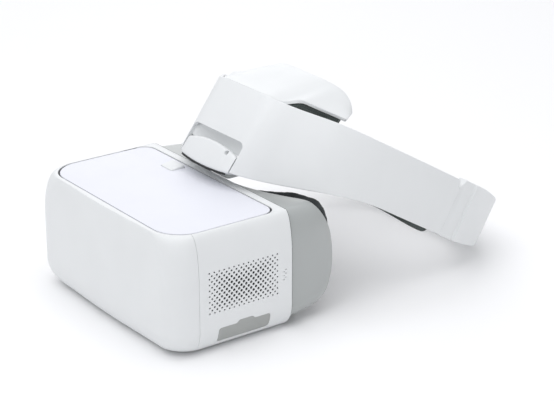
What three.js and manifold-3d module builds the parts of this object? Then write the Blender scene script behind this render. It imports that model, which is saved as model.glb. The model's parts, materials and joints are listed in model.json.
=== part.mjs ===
// FPV goggles: a box-shaped display unit with a face shroud, and a rigid headband hinged to its top.
// Millimetres, +Z up. The origin is on the flat base, on the centre plane; -Y is the front face and
// +Y is the wearer's side. +X is the wearer's left.
import * as THREE from 'three';
import { mergeVertices } from 'three/addons/utils/BufferGeometryUtils.js';
import Module from 'manifold-3d';

const wasm = await Module();
wasm.setup();

const { PI, abs, sin, cos } = Math;
const rad = THREE.MathUtils.degToRad;
const { lerp, smoothstep } = THREE.MathUtils;

// ---------------------------------------------------------------- driving dimensions

const GAP = 0.3; // between touching pieces

// Display unit casing
const WIDTH = 195;
const HEIGHT = 95;
const FRONT_Y = -56;
const REAR_Y = 50;
const WALL = 2.4;
const SHOULDER = { x: 8.8, y: 3.4, height: 36 }; // soft elliptical upper edge of the sides and front
const HEEL = { x: 17, y: 15, height: 21 }; // elliptical lower edge
const CORNER = { middle: 18, top: 26, bottom: 24 }; // radii of the front corners seen from above
const FRONT_BOW = 1.6;
const FRONT_SEAM_Y = -38.8; // between the front shell and the side covers
const TOP_PANEL = { x: 88.7, front: -50, radius: 24, thickness: 2.4 };
const BASE_HALF_WIDTH = 78.6;

// Face shroud and cushion
const SHROUD = { halfWidth: 96, rearHalfWidth: 85, low: 1.6, high: 93.4, rearLow: 4, rearHigh: 90 };
const SHROUD_REAR = { y: 60, z: 50, ry: 41, rz: 56 }; // ellipse of the rear edge seen from the side
const FACE_CURVE = { radius: 110, y: 168 }; // upright cylinder that follows the brow
const CUSHION_PROUD = 4;

// Optics
const EYE_Z = 47;
const HALF_IPD = 32;
const IPD_TRAVEL = 3;
const BARREL = { radius: 22, bore: 19.6, front: 28, rear: 54 };
const EYE_PLATE = { front: 44, rear: 47.5 };
const PINION = { teeth: 12, radius: 5, y: 32, low: 15.5, high: 21 };

// Fan and ports on the wearer's left
const FAN = { y: 6, z: 48, size: 42, front: 91, back: 80 };
const GRILLE = { y0: -25, y1: 37.5, z0: 28.5, z1: 66, columns: 9, rows: 8, hole: 1.5 };
const PORTS = { y0: -16, y1: 30, z0: 7.8, z1: 19.5, hump0: 2, hump1: 14, humpHeight: 2 };
const FLAP_THICKNESS = 1.7;
const SOCKETS = { back: 84.6, mouth: 91.6 };

// Headband, in its own tilted frame: x across, s backwards along the band, n square to the band
const PIN = { y: 50, z: 111, radius: 2 };
const TILT = rad(31);
// Half of the band's outline from the middle of the forehead to the middle of the back, as x and s
const BAND_OUTLINE = [[0, -11], [18, -10.8], [31, -9], [42, -1.5], [54, 10.5], [68, 24], [80, 37.5],
  [92, 60], [99.5, 86], [102.5, 117], [102.3, 140], [100.5, 165], [94, 195], [82, 220], [60, 238],
  [32, 243], [0, 243.5]];
const BAND_THICKNESS = 2.6;
const LINER = { outer: 2.9, wall: 2.6, depth: 8.2, battery: 14, lip: 2.2 };
const BAND_END = 221.5; // distance round the band from the middle of the forehead
const STATION = 10; // length of the flats round the band
const HINGE_BLOCK = { x: 32.6, front: -11.2, rear: 8, low: -8.9, high: 6.4, webHigh: 13.6 };
const RECESS_HIGH = 13.9;
const CROWN = { reach: 80, split: 0.5, gap: 7.5, low: 58, high: 88, endDrop: 20, s: 38, thickness: 2.6 };

// ---------------------------------------------------------------- materials

function plastic(colour, roughness = 0.45, metalness = 0) {
  return new THREE.MeshStandardMaterial({ color: colour, roughness, metalness });
}
const white = plastic(0xf1f2f5, 0.42);
const panelWhite = plastic(0xf3f4fa, 0.5);
const grey = plastic(0xa7abaa, 0.5);
const portGrey = plastic(0xa3a5a3, 0.7);
const black = plastic(0x1b1c1e, 0.6);
const foam = plastic(0x34373a, 0.95);
const padFabric = plastic(0x4d5655, 0.9);
const steel = plastic(0xb9bcc0, 0.3, 1);
const board = plastic(0x1f5a3a, 0.55);
const aluminium = plastic(0xc5c8cc, 0.35, 1);
const lensGlass = plastic(0xbfd0dc, 0.05);
const screen = plastic(0x0c0e12, 0.1);
const cellWrap = plastic(0x3a4f8a, 0.5);
const lightWindow = plastic(0xe4f2e8, 0.3);

// ---------------------------------------------------------------- solids

function toSolid(geometry) {
  const loose = geometry.index ? geometry.toNonIndexed() : geometry;
  loose.deleteAttribute('normal');
  loose.deleteAttribute('uv');
  const merged = mergeVertices(loose, 1e-4);
  const index = Uint32Array.from(merged.index.array);
  if (signedVolume(merged.attributes.position.array, index) < 0) index.reverse();
  const vertProperties = new Float32Array(merged.attributes.position.array);
  return new wasm.Manifold(new wasm.Mesh({ numProp: 3, vertProperties, triVerts: index }));
}

function signedVolume(points, index) {
  const corner = (i) => new THREE.Vector3().fromArray(points, 3 * i);
  let volume = 0;
  for (let i = 0; i < index.length; i += 3) {
    volume += corner(index[i]).dot(corner(index[i + 1]).cross(corner(index[i + 2])));
  }
  return volume;
}

function toGeometry(solid) {
  const { vertProperties, triVerts } = solid.getMesh();
  const geometry = new THREE.BufferGeometry();
  geometry.setAttribute('position', new THREE.BufferAttribute(new Float32Array(vertProperties), 3));
  geometry.setIndex(Array.from(triVerts));
  geometry.computeVertexNormals();
  return geometry;
}

const unite = (...solids) => solids.reduce((sum, next) => sum.add(next));
const cut = (solid, ...tools) => tools.reduce((rest, tool) => rest.subtract(tool), solid);

const basis = (x, y, z) => new THREE.Matrix4().makeBasis(
  new THREE.Vector3(...x), new THREE.Vector3(...y), new THREE.Vector3(...z));

function extrude(shape, length, steps) {
  const settings = { depth: length, bevelEnabled: false, curveSegments: steps };
  return new THREE.ExtrudeGeometry(shape, settings);
}

// A shape drawn in YZ, XZ or XY, extruded along the third axis.
function prismX(shape, x0, x1, steps = 6) {
  const turned = extrude(shape, x1 - x0, steps).applyMatrix4(basis([0, 1, 0], [0, 0, 1], [1, 0, 0]));
  return toSolid(turned.translate(x0, 0, 0));
}

function prismY(shape, y0, y1, steps = 6) {
  const turned = extrude(shape, y1 - y0, steps).applyMatrix4(basis([1, 0, 0], [0, 0, 1], [0, -1, 0]));
  return toSolid(turned.translate(0, y1, 0));
}

function prismZ(shape, z0, z1, steps = 6) {
  return toSolid(extrude(shape, z1 - z0, steps).translate(0, 0, z0));
}

function box(x0, x1, y0, y1, z0, z1) {
  const geometry = new THREE.BoxGeometry(x1 - x0, y1 - y0, z1 - z0);
  return toSolid(geometry.translate((x0 + x1) / 2, (y0 + y1) / 2, (z0 + z1) / 2));
}

function circle(x, y, radius) {
  return new THREE.Shape().absarc(x, y, radius, 0, 2 * PI);
}

function polygon(...points) {
  return new THREE.Shape(points.map(([x, y]) => new THREE.Vector2(x, y)));
}

// Corner radii run lower left, lower right, upper right, upper left.
function roundedRect(x0, y0, x1, y1, radius) {
  const [a, b, c, d] = Array.isArray(radius) ? radius : [radius, radius, radius, radius];
  const shape = new THREE.Shape();
  shape.absarc(x0 + a, y0 + a, a, PI, 1.5 * PI);
  shape.absarc(x1 - b, y0 + b, b, 1.5 * PI, 2 * PI);
  shape.absarc(x1 - c, y1 - c, c, 0, 0.5 * PI);
  shape.absarc(x0 + d, y1 - d, d, 0.5 * PI, PI);
  return shape;
}

// A closed skin over a stack of rings that all have the same number of corners. The triangles of
// the two end caps count their corners along the ring.
function closeSkin(rings, firstCap, lastCap) {
  const count = rings[0].length;
  const last = (rings.length - 1) * count;
  const index = [];
  for (let r = 0; r + 1 < rings.length; r++) {
    for (let i = 0; i < count; i++) {
      const a = r * count + i;
      const b = r * count + ((i + 1) % count);
      index.push(a, b, b + count, a, b + count, a + count);
    }
  }
  for (const [a, b, c] of firstCap) index.push(c, b, a);
  for (const [a, b, c] of lastCap) index.push(last + a, last + b, last + c);
  const geometry = new THREE.BufferGeometry();
  geometry.setAttribute('position', new THREE.Float32BufferAttribute(rings.flat(2), 3));
  geometry.setIndex(index);
  return toSolid(geometry);
}

// Triangles that fill a contour, turning the way that the contour runs.
function capTriangles(contour) {
  const outline = contour.map(([x, y]) => new THREE.Vector2(x, y));
  const triangles = THREE.ShapeUtils.triangulateShape(outline, []);
  return THREE.ShapeUtils.isClockWise(outline) ? triangles.map(([a, b, c]) => [c, b, a]) : triangles;
}

// A sheet that lies from one depth to another behind the surface at(u, v), u and v from 0 to 1.
function thickSheet(at, across, up, from, to) {
  const step = 1e-3;
  const face = (u, v, depth) => {
    const here = new THREE.Vector3(...at(u, v));
    const alongU = new THREE.Vector3(...at(u + step, v)).sub(here);
    const alongV = new THREE.Vector3(...at(u, v + step)).sub(here);
    return here.add(alongU.cross(alongV).normalize().multiplyScalar(-depth)).toArray();
  };
  const rings = [];
  for (let i = 0; i <= across; i++) {
    const ring = [];
    for (let j = 0; j <= up; j++) ring.push(face(i / across, j / up, from));
    for (let j = up; j >= 0; j--) ring.push(face(i / across, j / up, to));
    rings.push(ring);
  }
  const cap = [];
  for (let j = 0; j < up; j++) {
    const opposite = 2 * up + 1 - j;
    cap.push([j, j + 1, opposite - 1], [j, opposite - 1, opposite]);
  }
  return closeSkin(rings, cap, cap);
}

// ---------------------------------------------------------------- display unit casing

const falloff = (t) => 1 - Math.sqrt(Math.max(0, 1 - t * t)); // 0 at t = 0, 1 at t = 1, as on an ellipse

// The outline of the casing at one height, seen from above.
function casingRing(z, inset, rear) {
  const level = (HEIGHT * (z - inset)) / (HEIGHT - 2 * inset);
  const upper = falloff(Math.max(0, (level - HEIGHT + SHOULDER.height) / SHOULDER.height));
  const lower = falloff(Math.max(0, (HEEL.height - level) / HEEL.height));
  const x = WIDTH / 2 - inset - SHOULDER.x * upper - HEEL.x * lower;
  const y = FRONT_Y + inset + SHOULDER.y * upper + HEEL.y * lower;
  const { middle, top, bottom } = CORNER;
  const r = middle + (top - middle) * upper + (bottom - middle) * lower - inset;
  const points = [[x, rear], [-x, rear]];
  for (const [centre, start] of [[-x + r, PI], [x - r, 1.5 * PI]]) {
    for (let i = 0; i <= 6; i++) {
      const a = start + (PI * i) / 12;
      points.push([centre + r * cos(a), y + r + r * sin(a)]);
    }
  }
  const bow = (px) => FRONT_BOW * Math.max(0, 1 - (px / (x - r)) ** 2);
  return points.map(([px, py]) => [px, py < y + 0.01 ? y - bow(px) : py, z]);
}

const CASING_LEVELS = [0, 0.015, 0.05, 0.1, 0.16, 0.22, 0.42, 0.62, 0.74, 0.84, 0.91, 0.96, 0.99, 1];

function casing(inset, rear) {
  const rings = CASING_LEVELS.map((t) => casingRing(lerp(inset, HEIGHT - inset, t), inset, rear));
  const cap = (ring) => capTriangles(ring);
  return closeSkin(rings, cap(rings[0]), cap(rings[rings.length - 1]));
}

function topPanelOutline(grow) {
  const { x, front, radius } = TOP_PANEL;
  return roundedRect(-x - grow, front - grow, x + grow, REAR_Y + grow,
    [radius, radius, 3, 3].map((r) => r + grow));
}

const casingOuter = casing(0, REAR_Y);
const casingShell = casingOuter.subtract(casing(WALL, REAR_Y + 10))
  .subtract(prismZ(topPanelOutline(GAP), HEIGHT - 8, HEIGHT + 5));

function portOutline(grow) {
  const { y0, y1, z0, z1, hump0, hump1, humpHeight } = PORTS;
  const body = roundedRect(y0 - grow, z0 - grow, y1 + grow, z1 + grow, 3);
  const hump = polygon([hump0 - 2 - grow, z1 - 2], [hump1 + 2 + grow, z1 - 2],
    [hump1 + 2 + grow, z1 + grow], [hump1 + grow, z1 + humpHeight + grow],
    [hump0, z1 + humpHeight + grow], [hump0 - 2 - grow, z1 + grow]);
  return [body, hump];
}

function portBlank(grow, x0, x1) {
  return unite(...portOutline(grow).map((shape) => prismX(shape, x0, x1, 4)));
}

function frontShell() {
  return casingShell.intersect(box(-WIDTH, WIDTH, FRONT_Y - 9, FRONT_SEAM_Y - GAP / 2, -5, HEIGHT + 5));
}

function sideCover(side) {
  const inner = side * (BASE_HALF_WIDTH + GAP);
  const outer = side * WIDTH;
  return casingShell.intersect(box(Math.min(inner, outer), Math.max(inner, outer),
    FRONT_SEAM_Y + GAP / 2, REAR_Y, -5, HEIGHT + 5));
}

function leftSideCover() {
  const { y0, y1, z0, z1 } = GRILLE;
  const window = prismX(roundedRect(y0 - GAP, z0 - GAP, y1 + GAP, z1 + GAP, 2.5), 60, WIDTH, 3);
  const pocket = portBlank(GAP, 80, WIDTH).subtract(casing(FLAP_THICKNESS + GAP, REAR_Y + 5));
  const portOpening = box(60, WIDTH, PORTS.y0 + 2, PORTS.y1 - 2, PORTS.z0 + 0.5, PORTS.z1 - 1.5);
  const microphones = [];
  for (let row = 0; row < 3; row++) {
    microphones.push(prismX(circle(42.5 + (row % 2) * 2.4, 44 + row * 3.2, 0.8), 60, WIDTH, 2));
  }
  return cut(sideCover(1), window, pocket, portOpening, ...microphones);
}

function rightSideCover() {
  const pocket = prismX(roundedRect(-30.3, 19.7, 36.3, 72.3, 6), -WIDTH, -WIDTH / 2 + 1.2, 4);
  const inlet = prismX(circle(42, 16, 4.2), -WIDTH, -60, 4);
  return cut(sideCover(-1), pocket, inlet);
}

function touchPanel() {
  return prismX(roundedRect(-30, 20, 36, 72, 5.7), -WIDTH / 2 - 0.1, -WIDTH / 2 + 0.9, 4)
    .intersect(casing(0.05, REAR_Y));
}

function fanGrille() {
  const { y0, y1, z0, z1, columns, rows, hole } = GRILLE;
  const outline = roundedRect(y0, z0, y1, z1, 2.2);
  const pitchY = (y1 - y0 - 4) / columns;
  const pitchZ = (z1 - z0 - 4) / rows;
  for (let row = 0; row <= rows; row++) {
    const shift = row % 2 ? pitchY / 2 : 0;
    for (let column = 0; column <= columns - (row % 2); column++) {
      const y = y0 + 2 + shift + column * pitchY;
      const z = z0 + 2 + row * pitchZ;
      outline.holes.push(polygon([y - hole, z], [y, z - hole], [y + hole, z], [y, z + hole]));
    }
  }
  return prismX(outline, WIDTH / 2 - WALL, WIDTH / 2 - 0.2, 3);
}

const RELEASE = { x0: -45, x1: -24, y0: 24, y1: 40, rise: 4 };

function topCover() {
  const { x0, x1, y0, y1 } = RELEASE;
  const panel = prismZ(topPanelOutline(0), HEIGHT - TOP_PANEL.thickness, HEIGHT).intersect(casingOuter);
  return cut(panel, box(x0 - GAP, x1 + GAP, y0 - GAP, y1 + GAP, 80, 100));
}

const BASE_BUTTON = { x: -62, length: 12, width: 7 };
const BASE_BUTTON_Y = { back: -16, function: 2 };
const IPD_KNOB_RADIUS = 11;
const SCREW_SPOTS = [[-74, -30], [74, -30], [-74, 40], [74, 40]];

function bottomCover() {
  const plate = casingShell.intersect(box(-BASE_HALF_WIDTH, BASE_HALF_WIDTH,
    FRONT_SEAM_Y + GAP / 2, REAR_Y, -5, 20));
  const { x, length, width } = BASE_BUTTON;
  const slots = Object.values(BASE_BUTTON_Y).map((y) => box(x - length / 2 - GAP, x + length / 2 + GAP,
    y - width / 2 - GAP, y + width / 2 + GAP, -5, 5));
  const screwHoles = SCREW_SPOTS.map(([sx, sy]) => prismZ(circle(sx, sy, 2.4), -5, 5, 3));
  return cut(plate, ...slots, ...screwHoles, prismZ(circle(0, PINION.y, IPD_KNOB_RADIUS + 0.5), -5, 5));
}

function coverScrew([x, y]) {
  const head = prismZ(circle(x, y, 2), 0.4, 2, 3);
  const socket = prismZ(circle(x, y, 0.9), -1, 1.2, 1.5);
  return unite(head, prismZ(circle(x, y, 1), 1.8, 9, 2)).subtract(socket);
}

// ---------------------------------------------------------------- shroud and cushion

function shroudRing(y, inset) {
  const t = (y - REAR_Y) / 52;
  const x = lerp(SHROUD.halfWidth, SHROUD.rearHalfWidth, t * t) - inset;
  const low = lerp(SHROUD.low, SHROUD.rearLow, t) + inset;
  const high = lerp(SHROUD.high, SHROUD.rearHigh, t) - inset;
  const r = 15 - inset / 2;
  const shape = new THREE.Shape();
  shape.absarc(-x + r, low + r, r, PI, 1.5 * PI);
  shape.absarc(x - r, low + r, r, 1.5 * PI, 2 * PI);
  shape.absellipse(x - 14, high - 26, 14, 26, 0, 0.5 * PI);
  shape.absellipse(-x + 14, high - 26, 14, 26, 0.5 * PI, PI);
  return shape.getPoints(4).map((p) => [p.x, y, p.y]);
}

function shroudBlank(inset, from, to) {
  const rings = [];
  const steps = 4;
  for (let i = 0; i <= steps; i++) rings.push(shroudRing(lerp(from, to, i / steps), inset));
  const cap = (ring) => capTriangles(ring.map(([x, , z]) => [x, z]));
  return closeSkin(rings, cap(rings[0]), cap(rings[steps]));
}

function shroudSide(grow) {
  const { y, z, ry, rz } = SHROUD_REAR;
  const oval = new THREE.Shape().absellipse(y, z, ry + grow, rz + grow, 0, 2 * PI);
  return prismX(oval, -WIDTH, WIDTH, 16);
}

function faceCutter(shift) {
  return prismZ(circle(0, FACE_CURVE.y, FACE_CURVE.radius - shift), -20, 120, 28);
}

function noseCutter(grow) {
  const arch = new THREE.Shape();
  arch.moveTo(-24 - grow, -10);
  arch.lineTo(24 + grow, -10);
  arch.quadraticCurveTo(14 + grow, 30 + grow, 0, 33 + grow);
  arch.quadraticCurveTo(-14 - grow, 30 + grow, -24 - grow, -10);
  return prismY(arch, EYE_PLATE.rear + 9, 140);
}

function faceShroud() {
  const from = REAR_Y + GAP;
  const wall = shroudBlank(0, from, 104).subtract(shroudBlank(2.6, from - 5, 110));
  const flange = shroudBlank(0.2, from, from + 2.4)
    .subtract(shroudBlank(11, from - 5, from + 10));
  return unite(wall, flange).intersect(shroudSide(0)).subtract(faceCutter(0)).subtract(noseCutter(0));
}

function faceCushion() {
  const tube = shroudBlank(3, REAR_Y + 3.2, 108).subtract(shroudBlank(14, REAR_Y - 5, 112));
  return tube.intersect(shroudSide(2.4)).subtract(faceCutter(CUSHION_PROUD))
    .intersect(faceCutter(-9)).subtract(noseCutter(2));
}

// ---------------------------------------------------------------- optics

function eyePlate() {
  const reach = BARREL.radius + IPD_TRAVEL + 0.6;
  const high = BARREL.radius + 0.6;
  const slots = [-1, 1].map((side) => prismY(roundedRect(side * HALF_IPD - reach, EYE_Z - high,
    side * HALF_IPD + reach, EYE_Z + high, high), EYE_PLATE.front - 5, EYE_PLATE.rear + 5, 8));
  const blank = casing(WALL + GAP, REAR_Y + 5).intersect(box(-WIDTH, WIDTH, EYE_PLATE.front,
    EYE_PLATE.rear, -5, HEIGHT - TOP_PANEL.thickness - GAP));
  return cut(blank, ...slots);
}

const RACK_PITCH = 2 * PI * PINION.radius / PINION.teeth;

// A straight rack on one side of the pinion; facing is +1 when its teeth point to +Y.
function rack(facing, x0, x1) {
  const pitchLine = PINION.y - facing * PINION.radius;
  const root = pitchLine - facing * 1.1;
  const tip = pitchLine + facing * 0.7;
  const back = pitchLine - facing * 5;
  const profile = [[x0, back], [x0, root]];
  for (let x = -7.5 * RACK_PITCH; x < x1 - 1.5; x += RACK_PITCH) {
    if (x > x0 + 1.5) profile.push([x - 0.75, root], [x - 0.3, tip], [x + 0.3, tip], [x + 0.75, root]);
  }
  profile.push([x1, root], [x1, back]);
  return prismZ(polygon(...profile), PINION.low + 0.4, PINION.high - 0.8);
}

function lensBarrel(side) {
  const x = side * HALF_IPD;
  const tube = prismY(circle(x, EYE_Z, BARREL.radius), BARREL.front, BARREL.rear, 20)
    .subtract(prismY(circle(x, EYE_Z, BARREL.bore), BARREL.front - 1, BARREL.rear + 1, 20));
  const lug = box(x - 6, x + 6, 31, 41, EYE_Z + BARREL.radius - 1.5, EYE_Z + BARREL.radius + 9)
    .subtract(prismX(circle(36, EYE_Z + BARREL.radius + 4.5, 1.6), -WIDTH, WIDTH, 8));
  const reach = side > 0 ? [-13, 36] : [-36, 13];
  const teeth = rack(side, ...reach);
  const webY = PINION.y - side * (PINION.radius + 3.2);
  const web = box(x - 3, x + 3, webY - 1.7, Math.max(webY + 1.7, BARREL.front + 3),
    PINION.low + 0.6, EYE_Z - BARREL.radius + 1.4);
  return unite(tube, lug, teeth, web);
}

function lens(side) {
  const r = BARREL.bore - GAP;
  const profile = [[0, -3.4], [r * 0.5, -2.7], [r, -0.8], [r, 0.8], [r * 0.5, 2.7], [0, 3.4]];
  const turned = new THREE.LatheGeometry(profile.map(([x, y]) => new THREE.Vector2(x, y)), 24);
  return toSolid(turned.translate(side * HALF_IPD, 49, EYE_Z));
}

function ipdKnob() {
  const gear = new THREE.Shape();
  for (let tooth = 0; tooth < PINION.teeth; tooth++) {
    const mid = (2 * PI * tooth) / PINION.teeth - PI / 2;
    for (const [turn, r] of [[-0.21, 3.9], [-0.08, 5.7], [0.08, 5.7], [0.21, 3.9]]) {
      const x = r * cos(mid + turn);
      const y = PINION.y + r * sin(mid + turn);
      if (tooth === 0 && turn === -0.21) gear.moveTo(x, y);
      else gear.lineTo(x, y);
    }
  }
  const grip = [];
  for (let i = 0; i < 16; i++) {
    const a = (2 * PI * i) / 16;
    const notch = circle(IPD_KNOB_RADIUS * cos(a), PINION.y + IPD_KNOB_RADIUS * sin(a), 0.8);
    grip.push(prismZ(notch, -1, 6, 2));
  }
  const dial = cut(prismZ(circle(0, PINION.y, IPD_KNOB_RADIUS), 0.5, 5, 12), ...grip);
  return unite(dial, prismZ(circle(0, PINION.y, 2.6), 4.8, PINION.high + 1, 6),
    prismZ(gear, PINION.low, PINION.high));
}

// ---------------------------------------------------------------- electronics

function heatSpreader() {
  const fins = [];
  for (let i = 0; i < 9; i++) fins.push(box(-56 + i * 14, -54.5 + i * 14, -42.4, -33, 20, 76));
  return unite(box(-62, 62, -43.6, -41.8, 16, 80), ...fins);
}

function fanFrame() {
  const { y, z, size, front, back } = FAN;
  const h = size / 2;
  const frame = prismX(roundedRect(y - h, z - h, y + h, z + h, 3), back, front, 3)
    .subtract(prismX(circle(y, z, h - 2), back - 1, front + 1, 10));
  const arms = [box(back, back + 1.4, y - h + 1, y + h - 1, z - 2, z + 2),
    box(back, back + 1.4, y - 2, y + 2, z - h + 1, z + h - 1)];
  return unite(frame, prismX(circle(y, z, 7), back, back + 1.4, 6), ...arms);
}

function fanRotor() {
  const { y, z, front, back } = FAN;
  const parts = [prismX(circle(y, z, 7), back + 1.8, front - 0.8, 8)];
  for (let i = 0; i < 7; i++) {
    const blade = new THREE.BoxGeometry(6, 12.4, 0.9).rotateY(rad(38)).translate(0, 12, 0);
    blade.rotateX((2 * PI * i) / 7).translate(back + 5.6, y, z);
    parts.push(toSolid(blade));
  }
  return unite(...parts);
}

function socket(y0, y1, z0, z1, wall) {
  const { back, mouth } = SOCKETS;
  const cavity = box(back + 2, mouth + 2, y0 + wall, y1 - wall, z0 + wall, z1 - wall);
  return box(back, mouth, y0, y1, z0, z1).subtract(cavity);
}

function audioJack() {
  const { back, mouth } = SOCKETS;
  return box(back, mouth - 0.6, 22.6, 27.8, 9.9, 15.1)
    .subtract(prismX(circle(25.2, 12.5, 1.8), back + 1.5, mouth + 2, 5));
}

function powerInlet() {
  return prismX(circle(42, 16, 3.8), -WIDTH / 2 + 0.4, -86, 5)
    .subtract(prismX(circle(42, 16, 2.4), -WIDTH, -88, 5))
    .subtract(box(-WIDTH, WIDTH, EYE_PLATE.front - GAP, 60, 0, 60));
}

// ---------------------------------------------------------------- small controls

function portCover() {
  const skinDepth = casing(FLAP_THICKNESS, REAR_Y + 5);
  return portBlank(0, 80, WIDTH).intersect(casing(0.05, REAR_Y)).subtract(skinDepth);
}

function baseButton(y) {
  const { x, length, width } = BASE_BUTTON;
  return unite(box(x - length / 2, x + length / 2, y - width / 2, y + width / 2, 0.5, 3.4),
    box(x - length / 2 - 1.4, x + length / 2 + 1.4, y - width / 2 - 1.4, y + width / 2 + 1.4, 2.8, 4));
}

function releaseButton() {
  const { x0, x1, y0, y1, rise } = RELEASE;
  const wedge = prismX(polygon([y0, 90], [y1, 90], [y1, HEIGHT + rise - 0.8], [y1 - 1, HEIGHT + rise],
    [y1 - 4, HEIGHT + rise], [y0, HEIGHT + 0.5]), x0, x1);
  return unite(wedge, box(x0 - 1.5, x1 + 1.5, y0 - 1.5, y1 + 1.5, 89, 91.2));
}

function hingeMount() {
  const top = HEIGHT + 3.4;
  const foot = prismX(polygon([50.7, 93.9], [72, 93.9], [72, 94.6], [60, top], [50.7, top]), -36, 36);
  const leg = prismX(polygon([46.4, 110], [53.8, 112], [59, top - 1], [51, top - 1]), -9.7, 9.7);
  const boss = prismX(circle(PIN.y, PIN.z, 4.6), -9.7, 9.7, 10);
  return cut(unite(foot, leg, boss), prismX(circle(PIN.y, PIN.z, PIN.radius + 0.08), -20, 20, 8));
}

// ---------------------------------------------------------------- headband

const mirrored = BAND_OUTLINE.slice(1, -1).reverse().map(([x, y]) => [-x, y]);
const bandCurve = new THREE.CatmullRomCurve3(
  [...BAND_OUTLINE, ...mirrored].map(([x, y]) => new THREE.Vector3(x, y, 0)), true, 'centripetal');
bandCurve.arcLengthDivisions = 800;
const AROUND = bandCurve.getLength();

// A point on the band's plan, inset from its outer face, at a distance round it from the forehead.
function ringPoint(distance, inset) {
  const u = (((distance / AROUND) % 1) + 1) % 1;
  const outer = bandCurve.getPointAt(u);
  const along = bandCurve.getTangentAt(u);
  return [outer.x - along.y * inset, outer.y + along.x * inset];
}

const fold = (distance) => Math.min(abs(distance), AROUND - abs(distance));
const lowerEdge = (distance) => lerp(-9, 15, smoothstep(abs(distance), 15, 155));
const upperEdge = (distance) => lerp(57.3, 61.2, smoothstep(abs(distance), 40, 110));
const rearLower = (distance) => lerp(14.6, 17.4, smoothstep(fold(distance), 240, 330));
const rearUpper = (distance) => lerp(63, 56.5, smoothstep(fold(distance), 250, 340));

// A profile of [inset, height] corners swept round the band.
function ringSweep(profile, from, to) {
  const [start, end] = [Math.min(from, to), Math.max(from, to)];
  const stations = [start];
  for (let at = Math.ceil((start + 1) / STATION) * STATION; at < end - 1; at += STATION) {
    stations.push(at);
  }
  const rings = [...stations, end].map((distance) => profile(distance)
    .map(([inset, height]) => [...ringPoint(distance, inset), height]));
  return closeSkin(rings, capTriangles(profile(start)), capTriangles(profile(end)));
}

const band = (inset0, inset1, low, high) => (distance) => {
  const [a, b] = [low(distance), high(distance)];
  return [[inset0, a], [inset1, a], [inset1, b], [inset0, b]];
};

function bandCutout(grow) {
  const x = HINGE_BLOCK.x + grow;
  return prismY(roundedRect(-x, -40, x, RECESS_HIGH + grow, 5), -40, 60, 4);
}

const POWER_BUTTON = { s: 117, n: 38, radius: 6 };
const OUTLET = { s: 95, n: 25, radius: 4 };
const LIGHTS = { s0: 134, s1: 148, n0: 36, n1: 40 };

function bandShell() {
  const sweep = ringSweep(band(0, BAND_THICKNESS, lowerEdge, upperEdge), -BAND_END, BAND_END);
  const { s, n, radius } = POWER_BUTTON;
  return cut(sweep, bandCutout(0.4),
    prismX(circle(s, n, radius + 0.4), -120, -90, 6),
    prismX(circle(OUTLET.s, OUTLET.n, OUTLET.radius + 0.4), -120, -90, 5),
    box(-120, -90, LIGHTS.s0 - GAP, LIGHTS.s1 + GAP, LIGHTS.n0 - GAP, LIGHTS.n1 + GAP));
}

const batteryBulge = (distance) => LINER.battery * (1 - smoothstep(abs(distance), 52, 88));

function bandLiner() {
  const { outer, wall, depth, lip } = LINER;
  const profile = (distance) => {
    const back = depth + batteryBulge(distance);
    const [a, b] = [lowerEdge(distance), upperEdge(distance)];
    return [[outer, a], [back, a], [back, b], [outer, b], [outer, b - lip], [back - wall, b - lip],
      [back - wall, a + lip], [outer, a + lip]];
  };
  const sweep = ringSweep(profile, -BAND_END, BAND_END);
  const clearance = prismY(roundedRect(-37, -40, 37, HINGE_BLOCK.webHigh + GAP, 3), -40, 60, 3);
  return sweep.subtract(clearance);
}

// The fin that leans back over the forehead; it parts from the band at both ends.
function crownSurface(u, v) {
  const side = 2 * u - 1;
  const reach = Math.min(abs(side), 1);
  const [x, s] = ringPoint(CROWN.reach * side, 0);
  const low = CROWN.low + CROWN.gap * smoothstep(reach, CROWN.split, 0.95);
  const front = s + 14 * smoothstep(reach, 0.55, 1);
  const back = CROWN.s + 15 * smoothstep(reach, 0.1, 0.8);
  const high = CROWN.high - CROWN.endDrop * reach ** 3;
  return [x * (1 - 0.06 * v), lerp(front, back, v ** 1.7), lerp(low, high, 1 - abs(1 - v) ** 1.25)];
}

const crownCover = () => thickSheet(crownSurface, 20, 5, 0, CROWN.thickness);

function crownPad() {
  const start = CROWN.thickness + 0.6;
  return thickSheet((u, v) => crownSurface(0.03 + 0.94 * u, 0.05 + 0.9 * v), 16, 4, start, start + 7)
    .subtract(box(-120, 120, -40, 90, 40, 61.9));
}

function foreheadPad() {
  const start = LINER.depth + GAP;
  const profile = (distance) => {
    const face = start + batteryBulge(distance);
    return [[face, 17], [face + 12, 19], [face + 12, 52], [face, 54]];
  };
  return ringSweep(profile, -72, 72);
}

function sidePad(side) {
  const start = LINER.depth + GAP;
  const low = (distance) => lowerEdge(distance) - 1.2;
  const high = (distance) => upperEdge(distance) - 4;
  return ringSweep(band(start, start + 5, low, high), side * 100, side * 217);
}

function hingeBlock() {
  const { x, front, rear, low, high, webHigh } = HINGE_BLOCK;
  const body = prismX(roundedRect(front, low, rear, high, [1.5, 1.5, 0.5, 3.5]), -x, x, 4);
  const web = box(-x, x, 3.6, rear, high - 4, webHigh);
  const ring = ringSweep(band(0.2, 40, () => -30, () => 40), -42, 42);
  const slot = prismX(polygon([-7.6, -30], [30, -30], [30, 3], [0, 5], [-5.2, 3.5], [-7.6, -3]),
    -10.1, 10.1);
  return cut(unite(body, web).intersect(ring), slot,
    prismX(circle(0, 0, PIN.radius + 0.08), -30.2, 30.2, 8),
    prismY(circle(21, -0.6, 1.3), -20, -6, 4));
}

const hingePin = () => prismX(circle(0, 0, PIN.radius), -30, 30, 8);

function batteryPack(side) {
  const cell = new THREE.BoxGeometry(35, 8, 34).rotateZ(side * rad(30)).translate(side * 29.5, 6.5, 36);
  return toSolid(cell);
}

function powerButton() {
  const { s, n, radius } = POWER_BUTTON;
  return prismX(circle(s, n, radius), -103, -98.3, 8);
}

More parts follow.
